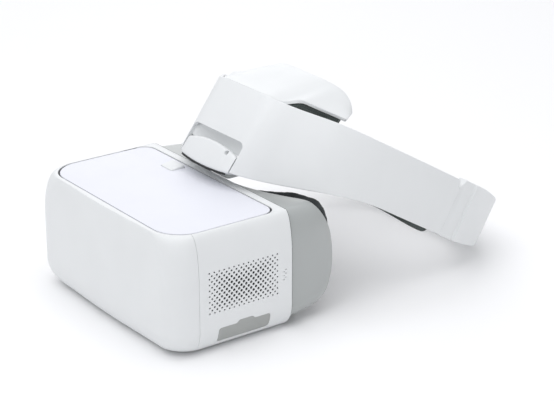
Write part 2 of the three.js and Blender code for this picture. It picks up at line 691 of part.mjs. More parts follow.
function powerOutlet() {
  const { s, n, radius } = OUTLET;
  return prismX(circle(s, n, radius), -102, -97.6, 5)
    .subtract(prismX(circle(s, n, radius - 1.5), -110, -99, 5));
}

const indicatorWindow = () => box(-102.1, -100.2, LIGHTS.s0, LIGHTS.s1, LIGHTS.n0, LIGHTS.n1);

// ---------------------------------------------------------------- rear adjuster

const REAR_START = 222.2;
const REAR_FACE_S = BAND_OUTLINE[BAND_OUTLINE.length - 1][1];
const ADJUSTER = { n: 38, knobRadius: 16, shaft: 3.2, pinion: 6 };

function rearHousing() {
  const outer = ringSweep(band(0, 10, rearLower, rearUpper), REAR_START, AROUND - REAR_START);
  const hollow = ringSweep(band(2.4, 7.8, (d) => rearLower(d) + 2.2, (d) => rearUpper(d) - 2.2),
    REAR_START - 4, AROUND - REAR_START + 4);
  return cut(outer, hollow, prismY(circle(0, ADJUSTER.n, ADJUSTER.shaft + 0.3), 238.5, 260, 6));
}

function rearPad() {
  const profile = (d) => [[10.3, rearLower(d) + 3], [20, rearLower(d) + 6],
    [20, rearUpper(d) - 6], [10.3, rearUpper(d) - 3]];
  return ringSweep(profile, 262, AROUND - 262);
}

function adjusterArm(side) {
  const blade = box(Math.min(side * 97.2, side * 98.3), Math.max(side * 97.2, side * 98.3),
    127, 158, 30, 44);
  const bend = ringSweep(band(3, 4.8, () => 30, () => 44), side * 223, side * 264);
  return unite(blade, bend);
}

function adjustKnob() {
  const rear = REAR_FACE_S;
  const grip = [];
  for (let i = 0; i < 24; i++) {
    const a = (2 * PI * i) / 24;
    grip.push(prismY(circle(16.3 * cos(a), ADJUSTER.n + 16.3 * sin(a), 1), rear - 1, rear + 6, 1.5));
  }
  const dial = cut(prismY(circle(0, ADJUSTER.n, ADJUSTER.knobRadius), rear + 0.4, rear + 3.8, 16), ...grip);
  return unite(dial, prismY(circle(0, ADJUSTER.n, ADJUSTER.shaft), rear - 5.5, rear + 1, 6),
    prismY(circle(0, ADJUSTER.n, ADJUSTER.pinion), rear - 7, rear - 3, 8));
}

// ---------------------------------------------------------------- assembly

const goggles = new THREE.Group();
const displayUnit = new THREE.Group();
const headband = new THREE.Group();
headband.position.set(0, PIN.y, PIN.z);
headband.rotation.x = -TILT;
goggles.add(displayUnit, headband);

function add(group, name, solid, material) {
  const mesh = new THREE.Mesh(toGeometry(solid), material);
  mesh.name = name;
  group.add(mesh);
}

add(displayUnit, 'front_shell', frontShell(), white);
add(displayUnit, 'side_cover_left', leftSideCover(), white);
add(displayUnit, 'side_cover_right', rightSideCover(), white);
add(displayUnit, 'top_cover', topCover(), panelWhite);
add(displayUnit, 'bottom_cover', bottomCover(), white);
add(displayUnit, 'touch_panel', touchPanel(), panelWhite);
add(displayUnit, 'fan_grille', fanGrille(), white);
add(displayUnit, 'face_shroud', faceShroud(), grey);
add(displayUnit, 'face_cushion', faceCushion(), foam);
add(displayUnit, 'eye_plate', eyePlate(), black);
add(displayUnit, 'proximity_window', box(-4, 4, 47.8, 49.2, 70, 78), screen);
add(displayUnit, 'display_panel', box(-62, 62, -14, -11, 10, 84), screen);
add(displayUnit, 'beam_splitter', toSolid(new THREE.BoxGeometry(120, 1.6, 40)
  .rotateX(rad(45)).translate(0, 8, EYE_Z)), lensGlass);
add(displayUnit, 'main_board', box(-70, 70, -46, -44.4, 12, 84), board);
add(displayUnit, 'heat_spreader', heatSpreader(), aluminium);
add(displayUnit, 'fan_frame', fanFrame(), black);
add(displayUnit, 'ports_board', box(SOCKETS.back - 2, SOCKETS.back - 0.4, -18, 32, 9, 26), board);
add(displayUnit, 'video_socket', socket(4.6, 20.6, 9.6, 16, 0.7), steel);
add(displayUnit, 'data_socket', socket(-5.4, 2.6, 10.4, 14.2, 0.6), steel);
add(displayUnit, 'card_socket', socket(-13.9, -6.6, 9.8, 13, 0.6), steel);
add(displayUnit, 'audio_jack', audioJack(), black);
add(displayUnit, 'power_inlet', powerInlet(), black);
add(displayUnit, 'speaker_left', box(87, 94.4, 30.2, 43.4, 28, 58), black);
add(displayUnit, 'speaker_right', box(-94.4, -87, 30.2, 43.4, 28, 58), black);
add(displayUnit, 'guide_rod', prismX(circle(36, EYE_Z + BARREL.radius + 4.5, 1.5), -62, 62, 8), steel);
add(displayUnit, 'hinge_mount', hingeMount(), white);
SCREW_SPOTS.forEach((spot, i) => add(displayUnit, `cover_screw_${i + 1}`, coverScrew(spot), steel));

add(displayUnit, 'lens_barrel_left', lensBarrel(1), black);
add(displayUnit, 'lens_left', lens(1), lensGlass);
add(displayUnit, 'lens_barrel_right', lensBarrel(-1), black);
add(displayUnit, 'lens_right', lens(-1), lensGlass);
add(displayUnit, 'ipd_knob', ipdKnob(), black);
add(displayUnit, 'fan_rotor', fanRotor(), black);
add(displayUnit, 'port_cover', portCover(), portGrey);
add(displayUnit, 'back_button', baseButton(BASE_BUTTON_Y.back), grey);
add(displayUnit, 'function_button', baseButton(BASE_BUTTON_Y.function), grey);
add(displayUnit, 'release_button', releaseButton(), white);

add(headband, 'band_shell', bandShell(), white);
add(headband, 'band_liner', bandLiner(), white);
add(headband, 'crown_cover', crownCover(), white);
add(headband, 'crown_pad', crownPad(), padFabric);
add(headband, 'forehead_pad', foreheadPad(), padFabric);
add(headband, 'side_pad_left', sidePad(1), padFabric);
add(headband, 'side_pad_right', sidePad(-1), padFabric);
add(headband, 'hinge_block', hingeBlock(), white);
add(headband, 'hinge_pin', hingePin(), steel);
add(headband, 'battery_left', batteryPack(1), cellWrap);
add(headband, 'battery_right', batteryPack(-1), cellWrap);
add(headband, 'band_board', box(-9, 9, -5.6, -4, 22, 50), board);
add(headband, 'power_button', powerButton(), grey);
add(headband, 'power_outlet', powerOutlet(), black);
add(headband, 'indicator_window', indicatorWindow(), lightWindow);
add(headband, 'rear_housing', rearHousing(), white);
add(headband, 'rear_pad', rearPad(), padFabric);
add(headband, 'adjuster_arm_left', adjusterArm(1), black);
add(headband, 'adjuster_arm_right', adjusterArm(-1), black);
add(headband, 'adjust_knob', adjustKnob(), grey);

export default goggles;
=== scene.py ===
"""FPV goggles: finished surfaces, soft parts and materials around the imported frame.

The row frame is in metres, +Z up. Lengths below are in millimetres and become metres in make().
The headband is drawn in its own tilted frame: x across, s backwards along the band, n square to it.
"""
import json
import math

import bmesh
import bpy
import numpy as np
from mathutils import Matrix, Vector


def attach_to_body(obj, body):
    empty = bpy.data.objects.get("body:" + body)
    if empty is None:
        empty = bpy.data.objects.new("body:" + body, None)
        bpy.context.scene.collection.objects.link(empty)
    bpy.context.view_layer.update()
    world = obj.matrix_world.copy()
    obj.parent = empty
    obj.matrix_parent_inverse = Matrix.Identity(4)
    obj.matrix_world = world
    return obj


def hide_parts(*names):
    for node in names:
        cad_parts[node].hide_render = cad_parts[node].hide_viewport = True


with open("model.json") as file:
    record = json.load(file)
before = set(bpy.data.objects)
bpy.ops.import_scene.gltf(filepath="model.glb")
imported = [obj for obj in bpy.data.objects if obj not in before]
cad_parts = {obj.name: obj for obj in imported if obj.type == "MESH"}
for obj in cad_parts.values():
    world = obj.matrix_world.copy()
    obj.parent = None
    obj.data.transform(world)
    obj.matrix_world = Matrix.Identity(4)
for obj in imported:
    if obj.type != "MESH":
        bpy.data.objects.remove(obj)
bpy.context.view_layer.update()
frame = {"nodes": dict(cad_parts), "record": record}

RECORD = frame["record"]
SLOT = {part["node"]: part["material_slot"] for part in RECORD["subparts"]}
BODY = {node: body for body, nodes in RECORD["behaviour"]["bodies"].items() for node in nodes}
MM = 0.001

# ---------------------------------------------------------------- driving dimensions, mm

WIDTH, HEIGHT = 195, 95
FRONT_Y, REAR_Y = -56, 50
WALL = 2.3
SHOULDER = {"x": 8.8, "y": 3.4, "height": 36}
HEEL = {"x": 17, "y": 15, "height": 21}
CORNER = {"middle": 18, "top": 26, "bottom": 24}
FRONT_BOW = 1.6
SEAM_Y = -33
SEAM_GAP = 0.3
TOP_GAP = 1.15
BASE_SEAM_X = 78.75
TOP_PANEL = {"x": 88.7, "front": -50, "rear": 43.6, "radius": 24, "rear_radius": 11, "thickness": 2.3}
PERFORATION = {"y0": -24, "y1": 36.6, "z0": 33.3, "z1": 65.2, "columns": 14, "rows": 14,
               "small": 0.72, "large": 1.2, "wall": 0.8}
PORTS = {"y0": -16, "y1": 30, "z0": 7.8, "z1": 19.5, "hump0": 2, "hump1": 14, "rise": 2}
RELEASE = {"x0": -43, "x1": -27, "y0": 25.5, "y1": 38.5}

SHROUD = {"x0": 96, "x1": 85, "low0": 4.2, "low1": 8.5, "high0": 93.4, "high1": 90, "depth": 52,
          "start": 50.3, "wall": 2.4}
SHROUD_REAR = {"y": 60, "z": 53, "ry": 40, "rz": 50}
FACE_CURVE = {"radius": 110, "y": 168}
NOSE = {"half": 25, "y": 56.5}
CUSHION = {"inset": 6.5, "width": 5.7, "depth": 6.6, "setback": 6.8, "lift": 4.4}

EYE_Z, HALF_IPD, LENS_RADIUS, LENS_Y = 47, 32, 19.3, 49

TILT = math.radians(31)
PIN_Y, PIN_Z = 50, 111
BAND_OUTLINE = [(0, -11), (18, -10.8), (31, -9), (42, -1.5), (54, 10.5), (68, 24), (80, 37.5),
                (92, 60), (99.5, 86), (102.5, 117), (102.3, 140), (100.5, 165), (94, 195), (82, 220),
                (60, 238), (32, 243), (0, 243.5)]
BAND_THICKNESS = 2.6
LEAN = 0.115
BAND_END = 221.5
LINER = {"outer": 2.9, "wall": 2.6, "depth": 8.2, "battery": 14, "lip": 2.2}
CROWN = {"reach": 77.4, "split": 0.47, "gap": 7.8, "low": 57.6, "high": 88, "drop": 15.6, "s": 41,
         "set_in": 26, "sweep": 19, "lean": 0.15, "thickness": 2.6}
REAR_START = 222.9
HINGE = {"half": 32.2, "low": -8.9, "high": 6.4, "depth": 18, "pin": 2.08}
KNOB = {"s": 243.5, "n": 38, "radius": 16}
POWER_BUTTON = {"s": 117, "n": 38, "radius": 6}
OUTLET = {"s": 95, "n": 25, "radius": 4}
LIGHTS = {"s0": 134, "s1": 148, "n0": 36, "n1": 40}

CAMERA = {"azimuth": 53.7, "elevation": 21.7, "across": 86.8, "up": 79.0, "back": 1401,
          "lens": 116.97, "sensor": 36}

# ---------------------------------------------------------------- materials


class Finish:
    """One procedural material. Texture coordinates are the row frame's, so scales are per metre."""

    def __init__(self, name, colour, roughness, **constants):
        self.material = bpy.data.materials.new(name)
        self.material.use_nodes = True
        self.nodes = self.material.node_tree.nodes
        self.links = self.material.node_tree.links
        self.shader = self.nodes["Principled BSDF"]
        self.colour, self.roughness = colour, roughness
        self.shader.inputs["Base Color"].default_value = (*colour, 1)
        self.shader.inputs["Roughness"].default_value = roughness
        for socket, value in constants.items():
            self.shader.inputs[socket.replace("_", " ")].default_value = value
        self.place = self.nodes.new("ShaderNodeTexCoord").outputs["Object"]

    def add(self, kind, inputs=None, **settings):
        node = self.nodes.new("ShaderNode" + kind)
        for key, value in settings.items():
            setattr(node, key, value)
        for key, value in (inputs or {}).items():
            if isinstance(value, bpy.types.NodeSocket):
                self.links.new(value, node.inputs[key])
            else:
                node.inputs[key].default_value = value
        return node

    def turned(self, rotation, scale=(1, 1, 1)):
        mapping = self.add("Mapping", {"Vector": self.place, "Rotation": rotation, "Scale": scale})
        return mapping.outputs[0]

    def noise(self, scale, detail=2.0, where=None):
        inputs = {"Vector": where or self.place, "Scale": scale, "Detail": detail}
        return self.add("TexNoise", inputs).outputs[0]

    def waves(self, scale, direction, where=None, distortion=0.0):
        inputs = {"Vector": where or self.place, "Scale": scale, "Distortion": distortion}
        return self.add("TexWave", inputs, bands_direction=direction).outputs["Fac"]

    def maths(self, operation, a, b):
        return self.add("Math", {0: a, 1: b}, operation=operation).outputs[0]

    def span(self, value, low, high, start=0.3, end=0.7):
        inputs = {"Value": value, "From Min": start, "From Max": end, "To Min": low, "To Max": high}
        return self.add("MapRange", inputs).outputs[0]

    def blend(self, fac, low, high):
        node = self.add("Mix", {"Factor": fac}, data_type="RGBA")
        node.inputs[6].default_value = (*low, 1)
        node.inputs[7].default_value = (*high, 1)
        return node.outputs[2]

    def tint(self, fac, spread):
        """Colour that wanders by a share of itself."""
        low = [c * (1 - spread) for c in self.colour]
        high = [min(1, c * (1 + spread)) for c in self.colour]
        self.links.new(self.blend(fac, low, high), self.shader.inputs["Base Color"])

    def rough(self, fac, spread):
        low, high = max(0.02, self.roughness - spread), min(1, self.roughness + spread)
        self.links.new(self.span(fac, low, high), self.shader.inputs["Roughness"])

    def bump(self, height, distance, strength=1.0):
        inputs = {"Height": height, "Distance": distance, "Strength": strength}
        node = self.add("Bump", inputs)
        self.links.new(node.outputs[0], self.shader.inputs["Normal"])


def plastic(name, colour, roughness, grain=2600, depth=2e-5, mottle=0.012, wander=0.05, **constants):
    """Moulded plastic: a spark-eroded grain, slight flow mottling and handling haze."""
    finish = Finish(name, colour, roughness, **constants)
    finish.tint(finish.span(finish.noise(24, 3), 0, 1), mottle)
    finish.rough(finish.noise(70, 4), wander)
    fine = finish.maths("ADD", finish.noise(grain, 3), finish.maths("MULTIPLY", finish.noise(420), 0.4))
    finish.bump(fine, depth)
    return finish.material


def knit(name, colour, pitch, tilt):
    """Knitted cover fabric: ribs of loops with a soft nap."""
    finish = Finish(name, colour, 0.92, Sheen_Weight=0.25, Sheen_Roughness=0.5, Specular_IOR_Level=0.25)
    turned = finish.turned((tilt, 0, 0))
    ribs = finish.waves(0.31 / pitch, "Z", turned, 0.6)
    loops = finish.waves(0.31 / pitch, "DIAGONAL", turned, 1.2)
    cloth = finish.maths("MULTIPLY", ribs, loops)
    nap = finish.noise(5200, 3)
    worn = finish.span(finish.noise(45, 4), 0.0, 0.5)
    shade = finish.maths("ADD", finish.maths("MULTIPLY", cloth, 0.6), worn)
    finish.tint(shade, 0.38)
    finish.bump(finish.maths("ADD", cloth, finish.maths("MULTIPLY", nap, 0.35)), 2.2e-4, 0.8)
    return finish.material


def foam(name, colour):
    """Fabric-faced foam: a tight nap over slow dents."""
    finish = Finish(name, colour, 0.95, Sheen_Weight=0.15, Sheen_Roughness=0.6, Specular_IOR_Level=0.2)
    cells = finish.add("TexVoronoi", {"Vector": finish.place, "Scale": 1500}).outputs["Distance"]
    finish.tint(finish.span(finish.noise(160, 4), 0, 1), 0.3)
    finish.bump(finish.maths("ADD", cells, finish.maths("MULTIPLY", finish.noise(130, 3), 1.5)), 1.6e-4, 0.7)
    return finish.material


def brushed(name, colour, roughness, stretch):
    """Metal with a fine directional polish."""
    finish = Finish(name, colour, roughness, Metallic=1.0)
    lines = finish.noise(900, 3, finish.turned((0, 0, 0), stretch))
    finish.tint(finish.span(finish.noise(40, 3), 0, 1), 0.06)
    finish.rough(lines, 0.12)
    finish.bump(lines, 1.2e-5)
    return finish.material


def circuit(name, colour):
    """Solder mask with raised traces."""
    finish = Finish(name, colour, 0.4)
    inputs = {"Vector": finish.place, "Scale": 260}
    cells = finish.add("TexVoronoi", inputs, feature="DISTANCE_TO_EDGE", distance="MANHATTAN")
    traces = finish.span(cells.outputs["Distance"], 1, 0, 0.03, 0.08)
    finish.tint(traces, 0.55)
    finish.rough(finish.noise(200), 0.08)
    finish.bump(traces, 4e-5)
    return finish.material


def glass(name, colour, weight, roughness):
    """Coated glass with faint smears."""
    finish = Finish(name, colour, roughness, Transmission_Weight=weight, IOR=1.52, Coat_Weight=0.6,
                    Coat_Roughness=0.03, Coat_Tint=(0.72, 0.6, 0.95, 1))
    finish.tint(finish.span(finish.noise(35, 3), 0, 1), 0.04)
    finish.rough(finish.noise(60, 5), 0.03)
    return finish.material


MATERIALS = {
    "shell_white": plastic("shell_white", (0.80, 0.815, 0.82), 0.40, Specular_IOR_Level=0.45),
    "panel_white": plastic("panel_white", (0.80, 0.81, 0.87), 0.46, grain=3400, depth=1.4e-5),
    "shroud_grey": plastic("shroud_grey", (0.40, 0.42, 0.415), 0.42, grain=2100, depth=3e-5, Coat_Weight=0.9,
                           Coat_Roughness=0.28),
    "cushion_foam": foam("cushion_foam", (0.026, 0.030, 0.032)),
    "inner_black": plastic("inner_black", (0.020, 0.021, 0.023), 0.52, grain=1900, depth=4e-5, mottle=0.1),
    "screen_dark": plastic("screen_dark", (0.010, 0.011, 0.014), 0.10, depth=2e-6, mottle=0.1, wander=0.04),
    "optical_glass": glass("optical_glass", (0.90, 0.95, 0.97), 1.0, 0.05),
    "mirror_glass": glass("mirror_glass", (0.80, 0.85, 0.88), 0.7, 0.06),
    "circuit_board": circuit("circuit_board", (0.018, 0.11, 0.055)),
    "aluminium_plate": brushed("aluminium_plate", (0.76, 0.77, 0.79), 0.34, (1, 1, 0.04)),
    "socket_steel": brushed("socket_steel", (0.64, 0.65, 0.67), 0.30, (0.05, 1, 1)),
    "port_rubber": plastic("port_rubber", (0.395, 0.405, 0.395), 0.66, grain=1500, depth=5e-5, mottle=0.03),
    "control_grey": plastic("control_grey", (0.42, 0.43, 0.43), 0.5, grain=1800, depth=4e-5),
    "pad_fabric": knit("pad_fabric", (0.070, 0.084, 0.080), 0.0011, TILT),
    "battery_wrap": plastic("battery_wrap", (0.05, 0.09, 0.25), 0.3, grain=600, depth=3e-5, mottle=0.05),
    "light_window": plastic("light_window", (0.72, 0.82, 0.76), 0.25, grain=900, Subsurface_Weight=0.3,
                            Subsurface_Scale=0.002),
}

# ---------------------------------------------------------------- mesh helpers


def smoothstep(x, low, high):
    t = np.clip((np.asarray(x, float) - low) / (high - low), 0, 1)
    return t * t * (3 - 2 * t)


def lerp(a, b, t):
    return a + (b - a) * t


def to_row(points):
    """Headband frame (x, s, n) to row frame, both in mm."""
    x, s, n = np.moveaxis(np.asarray(points, float), -1, 0)
    y = PIN_Y + s * math.cos(TILT) + n * math.sin(TILT)
    z = PIN_Z - s * math.sin(TILT) + n * math.cos(TILT)
    return np.stack([x, y, z], -1)


def add_object(name, data):
    piece = bpy.data.objects.new(name, data)
    bpy.context.scene.collection.objects.link(piece)
    return piece


def make(name, points, faces, closed=True):
    """A mesh object from points in mm. A closed one gets its faces turned outwards."""
    mesh = bpy.data.meshes.new(name)
    mesh.from_pydata((np.asarray(points, float).reshape(-1, 3) * MM).tolist(), [], faces)
    piece = add_object(name, mesh)
    edit = bmesh.new()
    edit.from_mesh(mesh)
    bmesh.ops.remove_doubles(edit, verts=edit.verts, dist=1e-6)
    bmesh.ops.dissolve_degenerate(edit, edges=edit.edges, dist=1e-6)
    if closed:
        bmesh.ops.recalc_face_normals(edit, faces=edit.faces)
    edit.to_mesh(mesh)
    edit.free()
    return piece


def settle(piece):
    """Applies the piece's modifiers."""
    bpy.context.view_layer.update()
    evaluated = piece.evaluated_get(bpy.context.evaluated_depsgraph_get())
    mesh = bpy.data.meshes.new_from_object(evaluated)
    piece.modifiers.clear()
    piece.data = mesh
    return piece


def modify(piece, kind, **settings):
    """Gives the piece one modifier and applies it."""
    modifier = piece.modifiers.new(kind.lower(), kind)
    for key, value in settings.items():
        setattr(modifier, key, value)
    return settle(piece)


def smooth(piece, angle=32):
    piece.data.polygons.foreach_set("use_smooth", [True] * len(piece.data.polygons))
    piece.data.set_sharp_from_angle(angle=math.radians(angle))
    return piece


def bevelled(piece, width, segments=2, angle=50):
    return modify(piece, "BEVEL", width=width * MM, segments=segments, limit_method="ANGLE",
                  angle_limit=math.radians(angle))


def carve(piece, *tools, operation="DIFFERENCE"):
    """Cuts the tools out of the piece, or with INTERSECT or UNION keeps their inside or adds them."""
    for tool in tools:
        modify(piece, "BOOLEAN", object=tool, solver="EXACT", operation=operation)
        bpy.data.objects.remove(tool)
    return piece


def grid_faces(rows, columns, wrap=False):
    row = np.arange(rows - 1)[:, None] * columns
    here = np.arange(columns if wrap else columns - 1)[None, :]
    beside = (here + 1) % columns
    quads = np.stack([row + here, row + beside, row + beside + columns, row + here + columns], -1)
    return quads.reshape(-1, 4).tolist()


def sheet(name, grid, wall, inside, planes=(), bevel=0.35):
    """A thick skin whose outer face is the grid. Planes are (point, normal) and cut away their far side.
    inside is a point, in mm, that the outer face turns its back on."""
    rows, columns = grid.shape[:2]
    piece = make(name, grid, grid_faces(rows, columns), closed=False)
    edit = bmesh.new()
    edit.from_mesh(piece.data)
    centre = Vector(inside) * MM
    facing = sum(f.normal.dot(f.calc_center_median() - centre) * f.calc_area() for f in edit.faces)
    if facing < 0:
        bmesh.ops.reverse_faces(edit, faces=edit.faces)
    for point, normal in planes:
        geometry = edit.verts[:] + edit.edges[:] + edit.faces[:]
        bmesh.ops.bisect_plane(edit, geom=geometry, plane_co=Vector(point) * MM, plane_no=normal,
                               clear_outer=True, dist=1e-7)
    edit.to_mesh(piece.data)
    edit.free()
    modify(piece, "SOLIDIFY", thickness=wall * MM, offset=-1, use_even_offset=True)
    return bevelled(piece, bevel) if bevel else piece


def tube(name, rings, wrap=False):
    """A closed skin over rings of equal length, with flat ends unless the rings wrap round."""
    rings = np.asarray(rings)
    count, size = rings.shape[:2]
    index = np.arange(count * size).reshape(count, size)
    faces = grid_faces(count, size, wrap=True)
    if wrap:
        last, first = index[-1], index[0]
        faces += [[last[i], last[(i + 1) % size], first[(i + 1) % size], first[i]] for i in range(size)]
    else:
        faces += [index[0].tolist(), index[-1].tolist()[::-1]]
    return make(name, rings, faces)


def hoop(name, rings):
    """A closed ring of material: equal loops, one for each corner of its section."""
    return tube(name, np.array(rings).transpose(1, 0, 2), wrap=True)


def upright(loop, y):
    """An (x, z) loop as points at depths y."""
    return np.column_stack([loop[:, 0], np.broadcast_to(y, len(loop)), loop[:, 1]])


def level(loop, z):
    """An (x, y) loop as points at one height."""
    return np.column_stack([loop, np.full(len(loop), z)])


def arc(cx, cy, radius, start, end, steps):
    angles = np.radians(np.linspace(start, end, steps + 1))
    return [(cx + radius * math.cos(a), cy + radius * math.sin(a)) for a in angles]


def rounded(x0, y0, x1, y1, radii, steps=8):
    """Rounded rectangle; radii run lower left, lower right, upper right, upper left."""
    a, b, c, d = radii if isinstance(radii, (list, tuple)) else [radii] * 4
    return (arc(x0 + a, y0 + a, a, 180, 270, steps) + arc(x1 - b, y0 + b, b, 270, 360, steps)
            + arc(x1 - c, y1 - c, c, 0, 90, steps) + arc(x0 + d, y1 - d, d, 90, 180, steps))


def circle(x, y, radius, steps=24):
    return arc(x, y, radius, 0, 360, steps)[:-1]


def fillet(corners, radius, steps=3):
    """Rounds the corners of a closed outline."""
    loop, corners = [], [np.array(c, float) for c in corners]
    for i, here in enumerate(corners):
        before, after = corners[i - 1] - here, corners[(i + 1) % len(corners)] - here
        reach = min(radius, 0.45 * np.linalg.norm(before), 0.45 * np.linalg.norm(after))
        start = here + before / np.linalg.norm(before) * reach
        end = here + after / np.linalg.norm(after) * reach
        for t in np.linspace(0, 1, steps + 1):
            loop.append((1 - t) ** 2 * start + 2 * t * (1 - t) * here + t * t * end)
    return np.array(loop)


def prism(outline, axis, low, high, place=None):
    """A cutting tool: an outline in the two other axes, drawn out along one axis of the row frame
    or, with place=to_row, of the headband frame."""
    outline, others = np.array(outline, float), [i for i in range(3) if i != axis]
    count = len(outline)
    points = np.zeros((2 * count, 3))
    points[:, others] = np.concatenate([outline, outline])
    points[:count, axis], points[count:, axis] = low, high
    faces = grid_faces(2, count, wrap=True) + [list(range(count)), list(range(2 * count - 1, count - 1, -1))]
    return make("tool", place(points) if place else points, faces)


def block(x0, x1, y0, y1, z0, z1, place=None):
    return prism([(x0, y0), (x1, y0), (x1, y1), (x0, y1)], 2, z0, z1, place)


def attach(piece, body, slot):
    """An extra piece that stands for no CAD node."""
    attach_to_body(piece, body)
    piece.data.materials.clear()
    piece.data.materials.append(MATERIALS[slot])
    return smooth(piece)


def place(piece, *nodes):
    """The piece stands for these CAD nodes: it rides on their body and takes their finish."""
    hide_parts(*nodes)
    return attach(piece, BODY[nodes[0]], SLOT[nodes[0]])


def refined(node, bevel):
    """The CAD node's own shape with rounded edges, leaning back with the band if it is in LEANING."""
    mesh = frame["nodes"][node].data.copy()
    piece = add_object(node + "_body", mesh)
    edit = bmesh.new()
    edit.from_mesh(mesh)
    bmesh.ops.remove_doubles(edit, verts=edit.verts, dist=1e-6)
    bmesh.ops.dissolve_limit(edit, angle_limit=math.radians(1.5), verts=edit.verts, edges=edit.edges)
    sharp = [e for e in edit.edges if len(e.link_faces) == 2 and e.calc_face_angle() > math.radians(40)]
    bmesh.ops.bevel(edit, geom=sharp, offset=bevel * MM, segments=2, profile=0.5, affect="EDGES",
                    clamp_overlap=True)
    if node in LEANING:
        for vert in edit.verts:
            x, _, n = to_band(vert.co / MM)
            shift = leaning(x, n) * MM
            vert.co += Vector((0, math.cos(TILT) * shift, -math.sin(TILT) * shift))
    edit.to_mesh(mesh)
    edit.free()
    return place(piece, node)

# ---------------------------------------------------------------- display unit casing


def falloff(t):
    return 1 - np.sqrt(np.maximum(0, 1 - t * t))


def casing_levels():
    """Heights up the casing, close together where its edges turn."""
    turn = np.radians(np.linspace(88, 4, 14))
    heel = HEEL["height"] * (1 - np.sin(turn))
    shoulder = HEIGHT - SHOULDER["height"] * (1 - np.sin(np.radians(np.linspace(3, 84, 22))))
    return np.concatenate([heel, np.linspace(HEEL["height"], HEIGHT - SHOULDER["height"], 16), shoulder])


def casing_shape(z):
    """Half width, front and corner radius of the casing at one height."""
    upper = falloff(max(0, (z - HEIGHT + SHOULDER["height"]) / SHOULDER["height"]))
    lower = falloff(max(0, (HEEL["height"] - z) / HEEL["height"]))
    x = WIDTH / 2 - SHOULDER["x"] * upper - HEEL["x"] * lower
    y = FRONT_Y + SHOULDER["y"] * upper + HEEL["y"] * lower
    radius = CORNER["middle"] + (CORNER["top"] - CORNER["middle"]) * upper
    return x, y, radius + (CORNER["bottom"] - CORNER["middle"]) * lower


def outline(x, front, radius, bow):
    """Open outline seen from above: down the left side, across the front and back up the right side."""
    side = [(x, y) for y in np.linspace(REAR_Y, front + radius, 40)[:-1]]
    corner = arc(x - radius, front + radius, radius, 0, -90, 16)
    across = np.linspace(x - radius, -(x - radius), 50)[1:-1]
    middle = [(px, front - bow * (1 - (px / (x - radius)) ** 2) ** 2) for px in across]
    mirrored = [(-px, py) for px, py in reversed(side + corner)]
    return np.array(side + corner + middle + mirrored)


def casing_grid():
    rows = []
    base_x, base_y, base_radius = casing_shape(0)
    base = outline(base_x, base_y, base_radius, FRONT_BOW)
    rear = np.array([0, REAR_Y])
    for share in (0.001, 0.25, 0.5, 0.75, 0.9, 1):
        rows.append(level(rear + (base - rear) * share, 0.0))
    for z in casing_levels():
        rows.append(level(outline(*casing_shape(z), FRONT_BOW), z))
    rim = outline(TOP_PANEL["x"] - 0.1, TOP_PANEL["front"] - 0.3, TOP_PANEL["radius"], 0)
    last = rows[-1]
    for share, z in ((0.3, HEIGHT - 0.05), (0.65, HEIGHT), (1, HEIGHT)):
        rows.append(level(lerp(last[:, :2], rim, share), float(z)))
    return np.array(rows)


CASING = casing_grid()
CASING_CENTRE = (0, 10, 45)


def casing_x(y, z):
    """Where the casing's left side is at a point seen from that side."""
    x, front, radius = casing_shape(z)
    inside = np.clip((front + radius - y) / radius, 0, 1)
    return x - radius + radius * math.sqrt(1 - inside ** 2)


def front_shell():
    planes = [((0, SEAM_Y - SEAM_GAP / 2, 0), (0, 1, 0))]
    return place(sheet("front_shell_body", CASING, WALL, CASING_CENTRE, planes), "front_shell")


def side_skin(name, side):
    planes = [((0, SEAM_Y + SEAM_GAP / 2, 0), (0, -1, 0)),
              ((side * (BASE_SEAM_X + SEAM_GAP / 2), 0, 0), (-side, 0, 0))]
    return sheet(name, CASING, WALL, CASING_CENTRE, planes)


def port_outline(grow):
    p = PORTS
    lower = [(p["y0"], p["z0"]), (p["y1"], p["z0"]), (p["y1"], p["z1"])]
    hump = [(p["hump1"] + 2, p["z1"]), (p["hump1"], p["z1"] + p["rise"]),
            (p["hump0"], p["z1"] + p["rise"]), (p["hump0"] - 2, p["z1"]), (p["y0"], p["z1"])]
    loop = fillet(lower + hump, 2.6, 6)
    middle = loop.mean(0)
    size = (loop.max(0) - loop.min(0)) / 2
    return middle + (loop - middle) * (size + grow) / size


def perforation():
    """Holes in staggered rows, largest in the middle, as one tool."""
    p = PERFORATION
    points, faces = [], []
    for row in range(p["rows"] + 1):
        stagger = 0.5 * (row % 2)
        for column in range(p["columns"] + 1 - row % 2):
            across, up = (column + stagger) / p["columns"], row / p["rows"]
            edge = max(abs(2 * across - 1), abs(2 * up - 1))
            radius = lerp(p["large"], p["small"], edge ** 2.5)
            hole = circle(lerp(p["y0"], p["y1"], across), lerp(p["z0"], p["z1"], up), radius, 12)
            first = len(points)
            points += [(80, y, z) for y, z in hole] + [(110, y, z) for y, z in hole]
            faces += (np.array(grid_faces(2, 12, wrap=True)) + first).tolist()
            faces += [list(range(first, first + 12)), list(range(first + 23, first + 11, -1))]
    return make("tool", points, faces)


def left_cover():
    piece = side_skin("side_cover_left_body", 1)
    p = PERFORATION
    margin = 2.2
    around = rounded(p["y0"] - margin, p["z0"] - margin, p["y1"] + margin, p["z1"] + margin, 4)
    hollow = prism(around, 0, 70, WIDTH / 2 - p["wall"])
    carve(piece, hollow, perforation())
    pocket = prism(port_outline(0.25), 0, 70, 110)
    microphones = [prism(circle(42.6 + 1.8 * (i % 2), 43 + 1.6 * i, 0.55, 10), 0, 90, 105) for i in range(6)]
    carve(piece, pocket, *microphones)
    return place(piece, "side_cover_left", "fan_grille")


